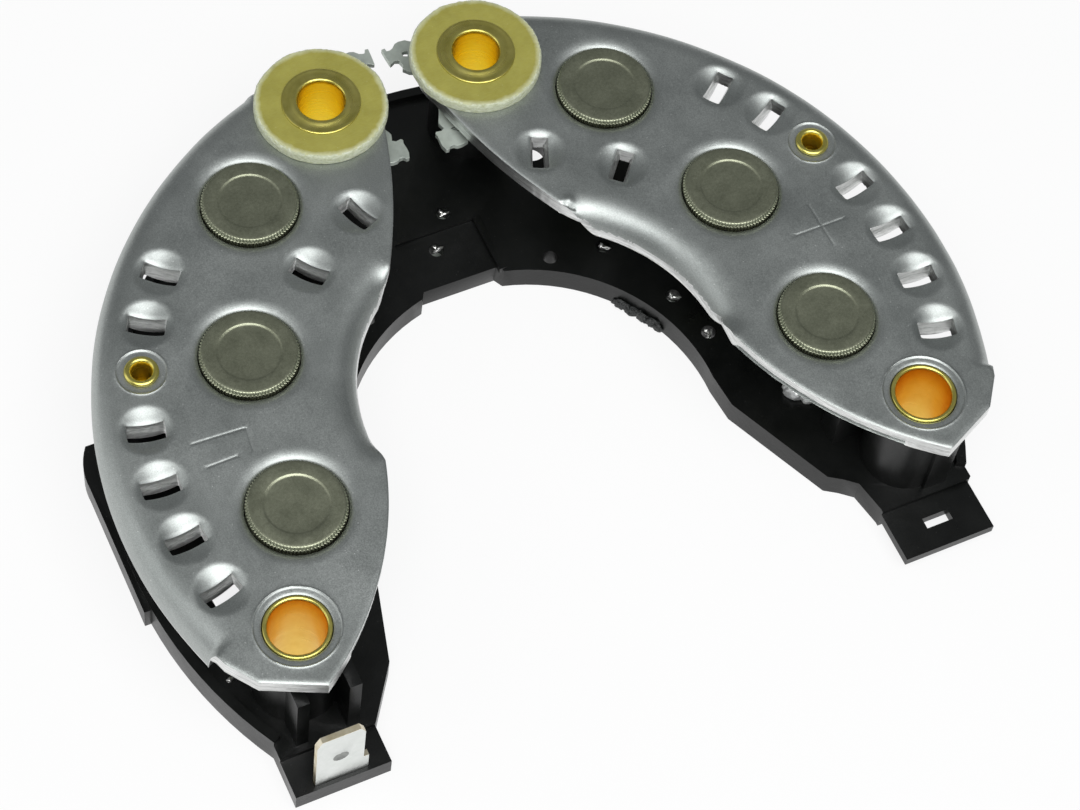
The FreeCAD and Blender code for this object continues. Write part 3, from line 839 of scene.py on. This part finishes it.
def aluminium():
    s = Surface("aluminium_sheet", (0.5, 0.53, 0.515), 0.42, 1.0)
    clouds = s.noise(0.12)
    grain = s.noise((5.0, 0.22, 1.0), turn=12.0)
    fine = s.noise(7.0, 3, 0.65)
    tone = s.tones(clouds, (0.455, 0.485, 0.47), (0.53, 0.56, 0.545))
    tone = s.shaded(tone, grain, (0.3, 0.93), (0.7, 1.0))
    tone = s.shaded(tone, fine, (0.36, 0.76), (0.62, 1.04))
    marks = s.ramp(s.noise((0.5, 14.0, 2.0), 5, 0.75, 28.0), (0.67, 0.0), (0.74, 1.0))
    other_marks = s.ramp(s.noise((12.0, 0.45, 2.0), 5, 0.75, -17.0), (0.68, 0.0), (0.75, 1.0))
    scratches = s.maths("MAXIMUM", marks, other_marks)
    tone = s.marked(tone, scratches, 0.5, (0.8, 0.83, 0.81))
    specks = s.dots(0.8, 0.09)
    tone = s.marked(tone, specks, 0.75, (0.9, 0.92, 0.9))
    s.colour(s.marked(tone, s.dots(0.45, 0.05, 0.9), 0.5, (0.16, 0.17, 0.16)))
    rough = s.varied(clouds, 0.4, 0.48)
    s.roughness(s.maths("ADD", rough, s.varied(fine, -0.03, 0.05)))
    s.bump(fine, 0.45, 0.018)
    s.bump(grain, 0.15, 0.012)
    s.bump(scratches, -0.35, 0.02)
    s.bump(specks, 0.5, 0.03)
    s.bump(s.noise(0.9, 3, 0.6), 0.5, 0.03)
    return s.material


def cut_edge():
    # The sheet's cut face: burnished and torn bands lie along it.
    s = Surface("aluminium_cut", (0.8, 0.81, 0.8), 0.4, 1.0)
    bands = s.noise((0.25, 0.25, 2.6), 4, 0.7)
    tears = s.noise((1.6, 1.6, 2.2), 4, 0.7)
    tone = s.ramp(bands, (0.35, (0.5, 0.51, 0.5)), (0.6, (0.86, 0.87, 0.86)))
    s.colour(s.mixed(s.spread(tears, 0.4, 0.7, 0.0, 0.4), tone, (0.95, 0.96, 0.95)))
    s.bump(bands, 0.6, 0.08)
    s.bump(tears, 0.4, 0.05)
    s.bump(s.noise(7.0, 3, 0.6), 0.4, 0.02)
    return s.material


def nickel():
    s = Surface("diode_nickel", (0.38, 0.395, 0.3), 0.38, 1.0)
    clouds = s.noise(0.35)
    fine = s.noise(10.0, 3, 0.65)
    mottle = s.noise(2.6, 5, 0.7)
    tone = s.tones(clouds, (0.365, 0.385, 0.275), (0.41, 0.43, 0.315))
    tone = s.shaded(tone, fine, (0.36, 0.8), (0.62, 1.05))
    tone = s.shaded(tone, mottle, (0.38, 0.86), (0.6, 1.06))
    s.colour(s.marked(tone, s.dots(1.3, 0.1), 0.55, (0.66, 0.66, 0.58)))
    s.roughness(s.varied(clouds, 0.35, 0.43))
    s.bump(fine, 0.3, 0.012)
    s.bump(mottle, 0.35, 0.014)
    s.bump(s.noise(1.4), 0.2, 0.012)
    return s.material


def brass(name, warm, plain, roughness):
    s = Surface(name, plain, roughness, 1.0)
    clouds = s.noise(0.5)
    s.colour(s.tones(clouds, warm, plain))
    rings = s.noise((0.15, 0.15, 5.0), 3, 0.6)
    s.roughness(s.varied(rings, roughness - 0.04, roughness + 0.08))
    s.bump(rings, 0.25, 0.015)
    s.bump(s.noise(8.0, 2, 0.6), 0.2, 0.01)
    return s.material


def fibre_board():
    # Olive board, a little see-through, with a soft ring by its rim painted paler as a sheen where the rim
    # catches the light.
    s = Surface("fibre_board", (0.38, 0.355, 0.085), 0.5)
    clouds = s.noise(0.35)
    fibres = s.noise((1.6, 9.0, 3.0), 4, 0.65, 20.0)
    tone = s.tones(clouds, (0.31, 0.285, 0.05), (0.38, 0.352, 0.072))
    tone = s.mixed(s.spread(fibres, 0.35, 0.75, 0.0, 0.2), tone, (0.5, 0.5, 0.2))
    tone = s.marked(tone, s.dots(1.1, 0.08), 0.5, (0.7, 0.7, 0.5))
    wander = s.varied(s.noise(0.7, 3, 0.6), -0.14, 0.14)
    reach = s.maths("ADD", s.reach(SLEEVE), wander)
    # A painted sheen: the board is painted paler in a ring by its rim.
    rim_sheen = s.spread(reach, WASHER_RADIUS - 0.95, WASHER_RADIUS - 0.4, 0.0, 0.65)
    s.colour(s.mixed(rim_sheen, tone, (0.66, 0.69, 0.47)))
    s.see_through(0.25, (1.0, 0.9, 0.4), 0.6)
    s.bump(fibres, 0.35, 0.03)
    s.bump(s.noise(5.0, 3, 0.6), 0.3, 0.02)
    return s.material


def fibre_rim():
    s = Surface("fibre_rim", (0.6, 0.64, 0.46), 0.7)
    fray = s.noise((1.6, 1.6, 4.5), 5, 0.75)
    s.colour(s.ramp(fray, (0.3, (0.42, 0.44, 0.24)), (0.5, (0.6, 0.64, 0.46)), (0.7, (0.78, 0.81, 0.68))))
    s.see_through(0.2, (1.0, 1.0, 0.7), 0.5)
    s.bump(fray, 0.9, 0.12)
    return s.material


def tinned(name, low, high, roughness, metallic=1.0):
    s = Surface(name, high, roughness, metallic)
    clouds = s.noise(0.6, 5, 0.65)
    s.colour(s.tones(clouds, low, high))
    s.roughness(s.varied(clouds, roughness - 0.06, roughness + 0.08))
    s.bump(s.noise(3.0, 4, 0.65), 0.4, 0.03)
    s.bump(s.noise((9.0, 1.0, 1.0), 3, 0.6), 0.2, 0.015)
    return s.material


def black_moulding():
    s = Surface("black_moulding", (0.008, 0.0085, 0.008), 0.42)
    clouds = s.noise(0.15)
    tone = s.tones(clouds, (0.003, 0.0034, 0.0032), (0.006, 0.0066, 0.0062))
    s.colour(s.marked(tone, s.dots(0.9, 0.06), 0.4, (0.2, 0.2, 0.2)))
    s.set({"Specular IOR Level": 0.36})
    s.roughness(s.varied(clouds, 0.27, 0.38))
    s.bump(s.noise(4.5), 0.45, 0.03)
    s.bump(s.noise(0.6, 3, 0.6), 0.5, 0.06)
    return s.material


def torn_plastic():
    s = Surface("torn_plastic", (0.03, 0.032, 0.032), 0.5)
    crumbs = s.noise(3.5, 4, 0.7)
    s.colour(s.ramp(crumbs, (0.4, (0.004, 0.0045, 0.0045)), (0.68, (0.06, 0.064, 0.064))))
    s.bump(crumbs, 0.8, 0.1)
    return s.material


def pale_floor():
    s = Surface("pale_floor", (0.9, 0.9, 0.9), 0.9)
    s.colour(s.tones(s.noise(0.02, 2, 0.5), 0.885, 0.915))
    path = s.node("LightPath").outputs
    seen = s.maths("MAXIMUM", path["Is Camera Ray"], path["Is Glossy Ray"])
    seen = s.maths("MAXIMUM", seen, path["Is Transmission Ray"])
    glow = s.node("Emission", {"Strength": 1.0}).outputs[0]
    share = s.maths("MULTIPLY", seen, FLOOR_GLOW)
    s.feed(s.output.inputs[0], s.node("MixShader", {0: share, 1: s.shader.outputs[0], 2: glow}).outputs[0])
    return s.material


ALUMINIUM = aluminium()
CUT_EDGE = cut_edge()
NICKEL = nickel()
BRASS = brass("brass", (0.66, 0.59, 0.14), (0.84, 0.76, 0.23), 0.28)
# The end bush's bore: a deeper orange brass, a painted reflection of the brass walls inside it.
BUSH_BORE_PAINTED_REFLECTION = brass("bush_bore_painted_reflection", (0.86, 0.53, 0.07), (0.93, 0.61, 0.11), 0.3)
# The sleeve's and rivet's bores: a brighter yellow brass, a painted reflection of the brass walls inside the
# bore.
SLEEVE_BORE_PAINTED_REFLECTION = brass("sleeve_bore_painted_reflection", (1.0, 0.8, 0.15), (1.0, 0.86, 0.19), 0.28)
# A darker tin for the inside of the spade's dimple: painted shade in the recess.
DIMPLE_PAINTED_SHADE_TIN = tinned("dimple_painted_shade_tin", (0.3, 0.31, 0.3), (0.48, 0.49, 0.47), 0.45)
SPADE_EDGE = brass("spade_edge", (0.6, 0.52, 0.34), (0.85, 0.8, 0.66), 0.4)
FIBRE = fibre_board()
FIBRE_RIM = fibre_rim()
TINNED = tinned("tinned_plate", (0.48, 0.53, 0.48), (0.62, 0.68, 0.62), 0.42, 0.6)
BRIGHT_TIN = tinned("tinned_blade", (0.78, 0.81, 0.78), (0.9, 0.92, 0.9), 0.42)
WIRE = tinned("tinned_wire", (0.6, 0.6, 0.58), (0.78, 0.78, 0.76), 0.3)
# Solder: near-white and only half metallic, painted light that keeps the mound in the shade by the lead
# bright.
SOLDER_PAINTED_BRIGHT = tinned("solder", (0.8, 0.82, 0.8), (0.95, 0.96, 0.95), 0.34, 0.5)
BLACK = black_moulding()
TORN = torn_plastic()


def finish_piece(obj, slot, *nodes):
    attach(obj, "root")
    if nodes:
        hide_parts(*nodes)
    return obj


def heat_sinks():
    for side, strokes, seed in ((1, PLUS_STROKES, 3.1), (-1, BAR_STROKES, 12.4)):
        sheet = heat_sink(side, strokes, seed, [ALUMINIUM, CUT_EDGE])
        finish_piece(sheet, "aluminium_sheet", SIDES[side] + "_heat_sink")


KNURL_TEETH = 88
KNURL_DEPTH = 0.18


def from_top(top, spots):
    # Profile points given by their depth under a part's top.
    return [(radius, top - depth) for radius, depth in spots]


def cup_profile(top, bottom, radius):
    # The cup's face is dished inside a low rim, and its wall is knurled.
    face = [
        (0.0, 0.16), (1.6, 0.165), (3.0, 0.15), (3.85, 0.135), (4.02, 0.12), (4.16, 0.02), (4.26, 0.0),
        (4.9, 0.0), (5.6, 0.0), (5.86, 0.02), (6.0, 0.06), (6.1, 0.13), (6.16, 0.22), (6.18, 0.32),
        (radius - KNURL_DEPTH, 0.4), (radius, 0.5), (radius, 2.0),
    ]
    low = top - 4.2
    return from_top(top, face) + [
        (radius, low + 0.1), (radius - KNURL_DEPTH, low), (radius - 0.3, low - 0.05),
        (radius - 0.3, bottom + 0.3), (radius - 0.55, bottom), (3.6, bottom), (3.4, bottom + 0.25),
        (2.0, bottom + 0.2), (0.0, bottom + 0.2),
    ]


def knurled(radii, heights, turns):
    top = DIODE_TOP
    teeth = 0.5 - 0.5 * np.cos(turns * KNURL_TEETH)
    on_knurl = (radii > DIODE_RADIUS - KNURL_DEPTH / 2) & (heights < top - 0.45)
    edge = (np.abs(radii - 6.12) < 0.11) & (heights > top - 0.42)
    radii = radii - on_knurl * KNURL_DEPTH * teeth
    return radii - edge * 0.09 * teeth, heights - edge * 0.1 * teeth


def diodes():
    profile = cup_profile(DIODE_TOP, DIODE_BOTTOM, DIODE_RADIUS)
    for side, prefix in SIDES.items():
        for number, centre in enumerate(DIODES, start=1):
            node = "%s_diode_%d" % (prefix, number)
            name, steps = node + "_cup", KNURL_TEETH * 4
            obj = turned_piece(name, profile, steps, centre, side, [NICKEL], knurled, False, 50.0)
            finish_piece(obj, "diode_nickel", node)


def face_spots(obj, centre, side):
    # Each face with its middle in millimetres and the middle's distance from an upright axis.
    for polygon in obj.data.polygons:
        spot = np.array(polygon.center) / MM
        yield polygon, spot, math.hypot(spot[0] - side * centre[0], spot[1] - centre[1])


def tube_foot(bore, wall):
    return [(bore, 0.05), (bore + 0.05, 0.0), (wall - 0.05, 0.0), (wall, 0.05)]


def bush_profile(bore, z):
    wall = bore + 0.5
    flare = wall + 0.15
    return tube_foot(bore, wall) + from_top(z, [
        (wall, 1.3), (flare, 0.9), (flare, 0.2), (flare - 0.06, 0.06), (wall, 0.0), (wall - 0.2, 0.01),
        (bore + 0.18, 0.06), (bore + 0.06, 0.18), (bore, 0.4), (bore, 4.0), (bore, 10.0),
    ])


def rivet_profile(bore, z):
    wall = bore + 0.35
    seat = PLATE_TOP
    foot = [(bore, 0.05), (wall, 0.0), (wall, seat - 0.1), (2.0, seat - 0.02), (2.17, seat + 0.06)]
    return foot + [(2.2, seat + 0.2), (2.12, seat + 0.36)] + from_top(z, [
        (1.95, 0.04), (1.75, 0.0), (1.55, 0.05), (1.4, 0.2), (1.3, 0.6), (1.25, 1.4), (bore, 1.6),
        (bore, 8.0),
    ])


def sleeve_profile(bore, z):
    wall = bore + 0.58
    flange, seat = 5.25, WASHER_TOP
    rim = [
        (wall, seat), (flange - 0.1, seat), (flange, seat + 0.08), (flange - 0.02, seat + 0.2),
        (flange - 0.14, seat + 0.27), (flange - 0.4, seat + 0.25), (flange - 0.62, seat + 0.2),
        (flange - 0.9, seat + 0.24),
    ]
    return tube_foot(bore, wall) + rim + from_top(z, [
        (4.0, 0.12), (3.75, 0.03), (3.55, 0.0), (3.35, 0.03), (3.22, 0.14), (bore + 0.02, 0.4), (bore, 0.8),
        (bore, 5.0), (bore, 12.0),
    ])


def brass_part(name, node, profile, segments, centre, material, paint_radius, paint_height):
    # A hollow turned part on both sides, its bore in a second material: a warmer, brighter brass whose colour
    # is a painted reflection of the brass walls inside the bore.
    for side, prefix in SIDES.items():
        obj = turned_piece(prefix + name, profile, segments, centre, side, [BRASS, material])
        for polygon, spot, reach in face_spots(obj, centre, side):
            if reach < paint_radius and spot[2] < paint_height:
                polygon.material_index = 1
        finish_piece(obj, "brass", prefix + node)


def brass_parts():
    bush, rivet, sleeve = BORES
    top = BUSH_TOP
    brass_part("_bush", "_end_bush", bush_profile(bush, top), 160, BUSH, BUSH_BORE_PAINTED_REFLECTION, bush + 0.12, top - 0.2)
    top = EYELET_TOP
    brass_part("_rivet", "_eyelet", rivet_profile(rivet, top), 112, EYELET, SLEEVE_BORE_PAINTED_REFLECTION, 1.42, top - 0.15)
    top = SLEEVE_TOP
    profile = sleeve_profile(sleeve, top)
    brass_part("_flanged_sleeve", "_sleeve", profile, 160, SLEEVE, SLEEVE_BORE_PAINTED_REFLECTION, sleeve + 0.12, top - 0.2)


def washer_profile():
    low, high, radius = WASHER_BOTTOM, WASHER_TOP, WASHER_RADIUS
    return [
        (WASHER_HOLE, low), (radius - 1.0, low), (radius - 0.12, low), (radius, low + 0.12),
        (radius, low + 0.45), (radius - 0.01, low + 0.8), (radius - 0.03, low + 1.1),
        (radius - 0.08, low + 1.32), (radius - 0.2, high - 0.1), (radius - 0.34, high),
        (radius - 0.8, high), (radius - 2.4, high), (WASHER_HOLE, high),
    ]


def frayed(radii, heights, turns, seed):
    # The rim's points, moved in and out and up and down by fibres of three sizes.
    low, high, radius = WASHER_BOTTOM, WASHER_TOP, WASHER_RADIUS
    out, up = radii.copy(), heights.copy()
    for index in np.ndindex(radii.shape):
        reach, height = radii[index], heights[index]
        if reach < radius - 0.9:
            continue
        x, y = math.cos(turns[index]) * 9, math.sin(turns[index]) * 9
        coarse = lumps(x * 0.35, y * 0.35, seed)
        fine = lumps(x * 2.4, y * 2.4, height * 2.6 + seed)
        tiny = lumps(x * 6.5, y * 6.5, height * 5 + seed)
        edge = 1.0 if reach < radius - 0.2 else 0.45
        out[index] = min(reach + 0.09 * coarse + 0.13 * edge * fine + 0.06 * edge * tiny, radius)
        if height > low + 1.0:
            up[index] = min(height + (0.05 if height < high - 0.02 else 0.02) * fine, high + 0.01)
    return out, up


def fibre_washers():
    for side, prefix in SIDES.items():
        seed = 5.0 + 9.0 * side

        def fray(radii, heights, turns):
            return frayed(radii, heights, turns, seed)

        name, looks = prefix + "_board_washer", [FIBRE, FIBRE_RIM]
        obj = turned_piece(name, washer_profile(), 480, SLEEVE, side, looks, fray)
        for polygon, spot, reach in face_spots(obj, SLEEVE, side):
            jag = 0.1 * lumps(spot[0] * 1.3, spot[1] * 1.3, seed)
            if reach > WASHER_RADIUS - 0.3 + jag:
                polygon.material_index = 1
        finish_piece(obj, "fibre_board", prefix + "_fibre_washer")


FORK_UPPER = (
    (5.28, 55.97), (4.73, 56.38), (3.77, 56.45), (3.2, 56.28), (2.62, 55.7), (2.15, 55.52), (1.74, 55.55),
    (1.64, 56.08), (1.15, 56.01), (1.22, 54.6), (1.34, 53.31), (1.62, 53.4), (2.16, 53.69), (2.65, 53.5),
    (2.88, 52.72), (2.58, 52.04), (3.24, 51.29), (5.4, 50.3), (8.0, 49.0), (9.0, 54.0),
)
FORK_EYE = ((3.52, 54.56), (3.98, 54.67), (4.4, 54.51), (4.06, 53.74), (3.5, 53.96))
FORK_LOWER = (
    (8.0, 46.5), (6.0, 46.8), (4.9, 45.2), (4.08, 43.4), (3.62, 42.5), (3.49, 42.07), (3.69, 41.41),
    (3.82, 41.16), (3.36, 40.86), (2.6, 40.97), (2.38, 40.66), (2.51, 40.23), (2.44, 39.4), (2.44, 38.61),
    (2.72, 37.77), (3.12, 37.77), (3.48, 38.15), (3.96, 38.15), (4.37, 37.86), (5.1, 37.85), (5.56, 37.97),
    (6.02, 38.08), (6.05, 38.9), (5.81, 39.61), (5.23, 40.13), (4.75, 40.51), (4.72, 40.81), (5.11, 40.95),
    (6.4, 42.4), (8.6, 43.6),
)
FORK_BAR = ((4.7, 40.6), (7.7, 40.6), (7.7, 55.6), (4.7, 55.6))
FORK_SHIFTS = {1: ((0.0, 0.0), (0.0, 0.0)), -1: ((-0.7, 0.8), (-0.35, 0.65))}


def forked_terminals():
    # Washers with two forked tongues towards the gap between the plates, dulled by solder.
    for side, prefix in SIDES.items():
        upper_shift, lower_shift = FORK_SHIFTS[side]
        tongues = [np.array(FORK_UPPER) + upper_shift, np.array(FORK_LOWER) + lower_shift]
        outlines = [ring(SLEEVE, 6.2, 0.6), *tongues, np.array(FORK_BAR)]
        holes = [ring(SLEEVE, WASHER_HOLE, 0.6), np.array(FORK_EYE) + upper_shift]
        outlines, holes = ([loop * (side, 1.0) for loop in loops] for loops in (outlines, holes))
        obj = prism_piece(prefix + "_fork", outlines, holes, FORK_BOTTOM, FORK_TOP, [TINNED], 0.16)
        finish_piece(obj, "tinned_plate", prefix + "_forked_terminal")


def copied(node, name, materials):
    # A CAD solid's mesh with its flat faces whole again.
    mesh = bmesh.new()
    mesh.from_mesh(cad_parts[node].data)
    bmesh.ops.remove_doubles(mesh, verts=mesh.verts, dist=0.001 * MM)
    whole = {"verts": mesh.verts, "edges": mesh.edges, "delimit": set()}
    bmesh.ops.dissolve_limit(mesh, angle_limit=math.radians(0.8), **whole)
    bmesh.ops.recalc_face_normals(mesh, faces=mesh.faces)
    return mesh_object(name, mesh, materials)


SPADE_DIMPLE = (-42.9, 9.2)
DIMPLE_OFFSET = 0.86
DIMPLE_BALL = 1.35
DIMPLE_REACH = 1.2
BLADE_FOOT = 3.2


def pressed(obj, centre, radius):
    # A round dimple, cut by a ball in an upright face.
    steps = np.radians(np.linspace(-90, 90, 17))
    ball = [(radius * math.cos(turn), radius * math.sin(turn) + centre[2]) for turn in steps]
    verts, faces = lathe(ball, 40, centre[:2])
    cutter = welded(new_object("dimple_tool", verts, faces, []))
    modifier = obj.modifiers.new("dimple", "BOOLEAN")
    modifier.operation = "DIFFERENCE"
    modifier.solver = "EXACT"
    modifier.object = cutter
    graph = bpy.context.evaluated_depsgraph_get()
    data = bpy.data.meshes.new_from_object(obj.evaluated_get(graph))
    obj.modifiers.clear()
    obj.data = data
    bpy.data.objects.remove(cutter)


def spade():
    # The blade carries a pressed dimple on its face, its inside painted a darker tin as shade, and its edges
    # show the brass under the tin.
    obj = copied("spade_terminal", "spade_blade", [BRIGHT_TIN, SPADE_EDGE, DIMPLE_PAINTED_SHADE_TIN])
    x, z = SPADE_DIMPLE
    pressed(obj, (x, SPADE_FRONT - DIMPLE_OFFSET, z), DIMPLE_BALL)
    for polygon in obj.data.polygons:
        centre, facing = polygon.center / MM, abs(polygon.normal.y)
        aside = math.hypot(centre.x - x, centre.z - z)
        polygon.material_index = 1 if centre.z > BLADE_FOOT and facing < 0.3 and aside > DIMPLE_REACH else 0
        # Faces inside the dimple take the darker tin, painted shade.
        if aside < DIMPLE_REACH and centre.y > SPADE_FRONT + 0.02 and facing < 0.98:
            polygon.material_index = 2
    soften(obj, 0.1)
    finish_piece(obj, "tinned_plate", "spade_terminal")


def blob(name, centre, size, seed, material, slot, turn=0.0):
    # A small irregular lump, which stays above the floor.
    mesh = bmesh.new()
    bmesh.ops.create_icosphere(mesh, subdivisions=3, radius=1.0)
    rotation = Matrix.Rotation(math.radians(turn), 3, "Z")
    for vert in mesh.verts:
        way = vert.co.normalized()
        lump = 1.0 + 0.45 * lumps(*(way * 1.6 + Vector((seed, 0, 0))))
        lump += 0.16 * lumps(*(way * 4.5 + Vector((0, seed, 0))))
        place = Vector((way.x * size[0], way.y * size[1], way.z * size[2])) * lump
        spot = rotation @ place + Vector(centre)
        spot.z = max(spot.z, 0.1)
        vert.co = spot * MM
    obj = mesh_object(name, mesh, [material])
    obj.data.shade_smooth()
    finish_piece(obj, slot)


WIRE_ENDS = (
    (-14.0, 24.2, 25.0), (25.6, 12.2, -20.0), (27.5, 5.3, 40.0), (-1.0, 31.0, 15.0), (20.2, 22.9, -35.0),
    (2.1, 35.9, 5.0),
)


# The mound and tail take the solder painted brighter against their shade.
SOLDER_LUMPS = (
    ("solder_mound", 33.9, -7.6, 0.7, (1.6, 1.1, 1.1), 8.1, SOLDER_PAINTED_BRIGHT, -40.0),
    ("solder_tail", 34.9, -8.9, 0.5, (1.1, 0.7, 0.7), 5.2, SOLDER_PAINTED_BRIGHT, -50.0),
    ("solder_drop", -50.5, -17.6, 0.05, (0.5, 0.3, 0.2), 1.4, WIRE, 20.0),
)


def solder_bits():
    # Bent wire ends that show in the deck's small windows, and the solder by the last lead.
    for number, (x, y, turn) in enumerate(WIRE_ENDS, start=1):
        end, stub = (x + 0.1, y - 0.25, DECK_TOP - 0.1), (x - 0.25, y + 0.2, DECK_TOP - 0.05)
        blob("wire_end_%d" % number, end, (0.8, 0.28, 0.3), 3.7 * number, WIRE, "tinned_wire", turn)
        blob("wire_stub_%d" % number, stub, (0.3, 0.42, 0.42), 2.3 * number, WIRE, "tinned_wire", turn)
    for name, x, y, rise, size, seed, material, turn in SOLDER_LUMPS:
        blob(name, (x, y, DECK_TOP + rise), size, seed, material, "tinned_wire", turn)


def torn_gate():
    # The crumbs left on the moulding's bore where its sprue was broken off.
    start, step, reach = GATE_CRUMBS
    for number in range(14):
        turn = start + step * number

        def varied(middle, change, rate):
            return middle + change * math.sin(rate * number)

        x, y = polar(varied(reach, 0.15, 2.1), turn)
        size = (varied(0.45, 0.15, 3.7), varied(0.85, 0.25, 2.9), varied(0.75, 0.2, 1.7))
        place = (x, y, varied(0.7, 0.25, 1.3))
        blob("gate_crumb_%d" % (number + 1), place, size, 0.7 + number, TORN, "black_moulding", turn)


def carrier():
    obj = copied("terminal_carrier", "carrier_moulding", [BLACK])
    soften(obj, 0.38, 3)
    finish_piece(obj, "black_moulding", "terminal_carrier")


def dress_cad_nodes():
    finishes = {"lower_washer": FIBRE, "lead": WIRE, "phase_conductor": TINNED}
    for name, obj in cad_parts.items():
        for word, material in finishes.items():
            if word in name:
                obj.data.materials.clear()
                obj.data.materials.append(material)


# The stage in metres and watts, each softbox with its shares of up, front and left and its distance
SOFTBOXES = (
    ("overhead_softbox", (0.9, 0.42, -0.17), 0.75, (0.75, 0.6), 5.7),
    ("side_softbox", (0.45, 0.2, 0.8), 0.8, (0.5, 0.7), 0.95),
)
FLOOR_SIZE = 3.0
FLOOR_HEIGHT = -0.0002
FLOOR_GLOW = 0.86

# The camera, worked out from the photograph: it stands 59.6 degrees up, 33.3 degrees towards -X from
# the front, and is rolled by 9.7 degrees.
CAMERA_DISTANCE = 378.29
CAMERA_ELEVATION = 59.59
CAMERA_ROLL = 9.745
PLATE_TURN = 33.31
LOOK_AT = (-3.246, -4.0, PLATE_TOP)
LENS = 100.4743
SENSOR = 36.0
FACING = Matrix.Rotation(math.radians(-PLATE_TURN), 3, "Z")


def place_camera():
    tilt = Matrix.Rotation(math.radians(90.0 - CAMERA_ELEVATION), 3, "X")
    turned = FACING @ tilt @ Matrix.Rotation(math.radians(CAMERA_ROLL), 3, "Z")
    data = bpy.data.cameras.new("camera")
    data.lens = LENS
    data.sensor_width = SENSOR
    data.sensor_fit = "HORIZONTAL"
    data.clip_start = 0.01
    camera = link_object("camera", data)
    place = (turned.col[2] * CAMERA_DISTANCE + Vector(LOOK_AT)) * MM
    camera.matrix_world = Matrix.Translation(place) @ turned.to_4x4()
    bpy.context.scene.camera = camera


def area_light(name, place, size, power):
    # A softbox that faces the origin.
    data = bpy.data.lights.new(name, "AREA")
    data.shape = "RECTANGLE"
    data.size, data.size_y = size
    data.energy = power
    lamp = link_object(name, data)
    lamp.location = place
    lamp.rotation_euler = (-place).to_track_quat("-Z", "Y").to_euler()


def lay_floor():
    mesh = bpy.data.meshes.new("floor")
    size = FLOOR_SIZE
    corners = [(-size, -size, 0), (size, -size, 0), (size, size, 0), (-size, size, 0)]
    mesh.from_pydata(corners, [], [(0, 1, 2, 3)])
    mesh.materials.append(pale_floor())
    floor = link_object("floor", mesh)
    floor.location = (0, 0, FLOOR_HEIGHT)


def surroundings():
    # The camera sees white around the part, and the part itself a dim, cool grey.
    world = bpy.data.worlds.new("studio")
    sky = Shading(world)
    grey = sky.node("Background", {"Color": (0.95, 0.98, 1.0), "Strength": 0.2}).outputs[0]
    white = sky.node("Background", {"Color": (1.0, 1.0, 1.0), "Strength": 1.0}).outputs[0]
    seen = sky.node("LightPath").outputs["Is Camera Ray"]
    mix = sky.node("MixShader", {0: seen, 1: grey, 2: white}).outputs[0]
    sky.node("OutputWorld", {0: mix})
    bpy.context.scene.world = world


def studio():
    lay_floor()
    surroundings()
    for name, (above, front, left), distance, size, power in SOFTBOXES:
        area_light(name, FACING @ Vector((-left, -front, above)) * distance, size, power)
    bpy.context.scene.view_settings.view_transform = "Standard"


heat_sinks()
diodes()
brass_parts()
fibre_washers()
forked_terminals()
solder_bits()
torn_gate()
carrier()
spade()
dress_cad_nodes()
place_camera()
studio()
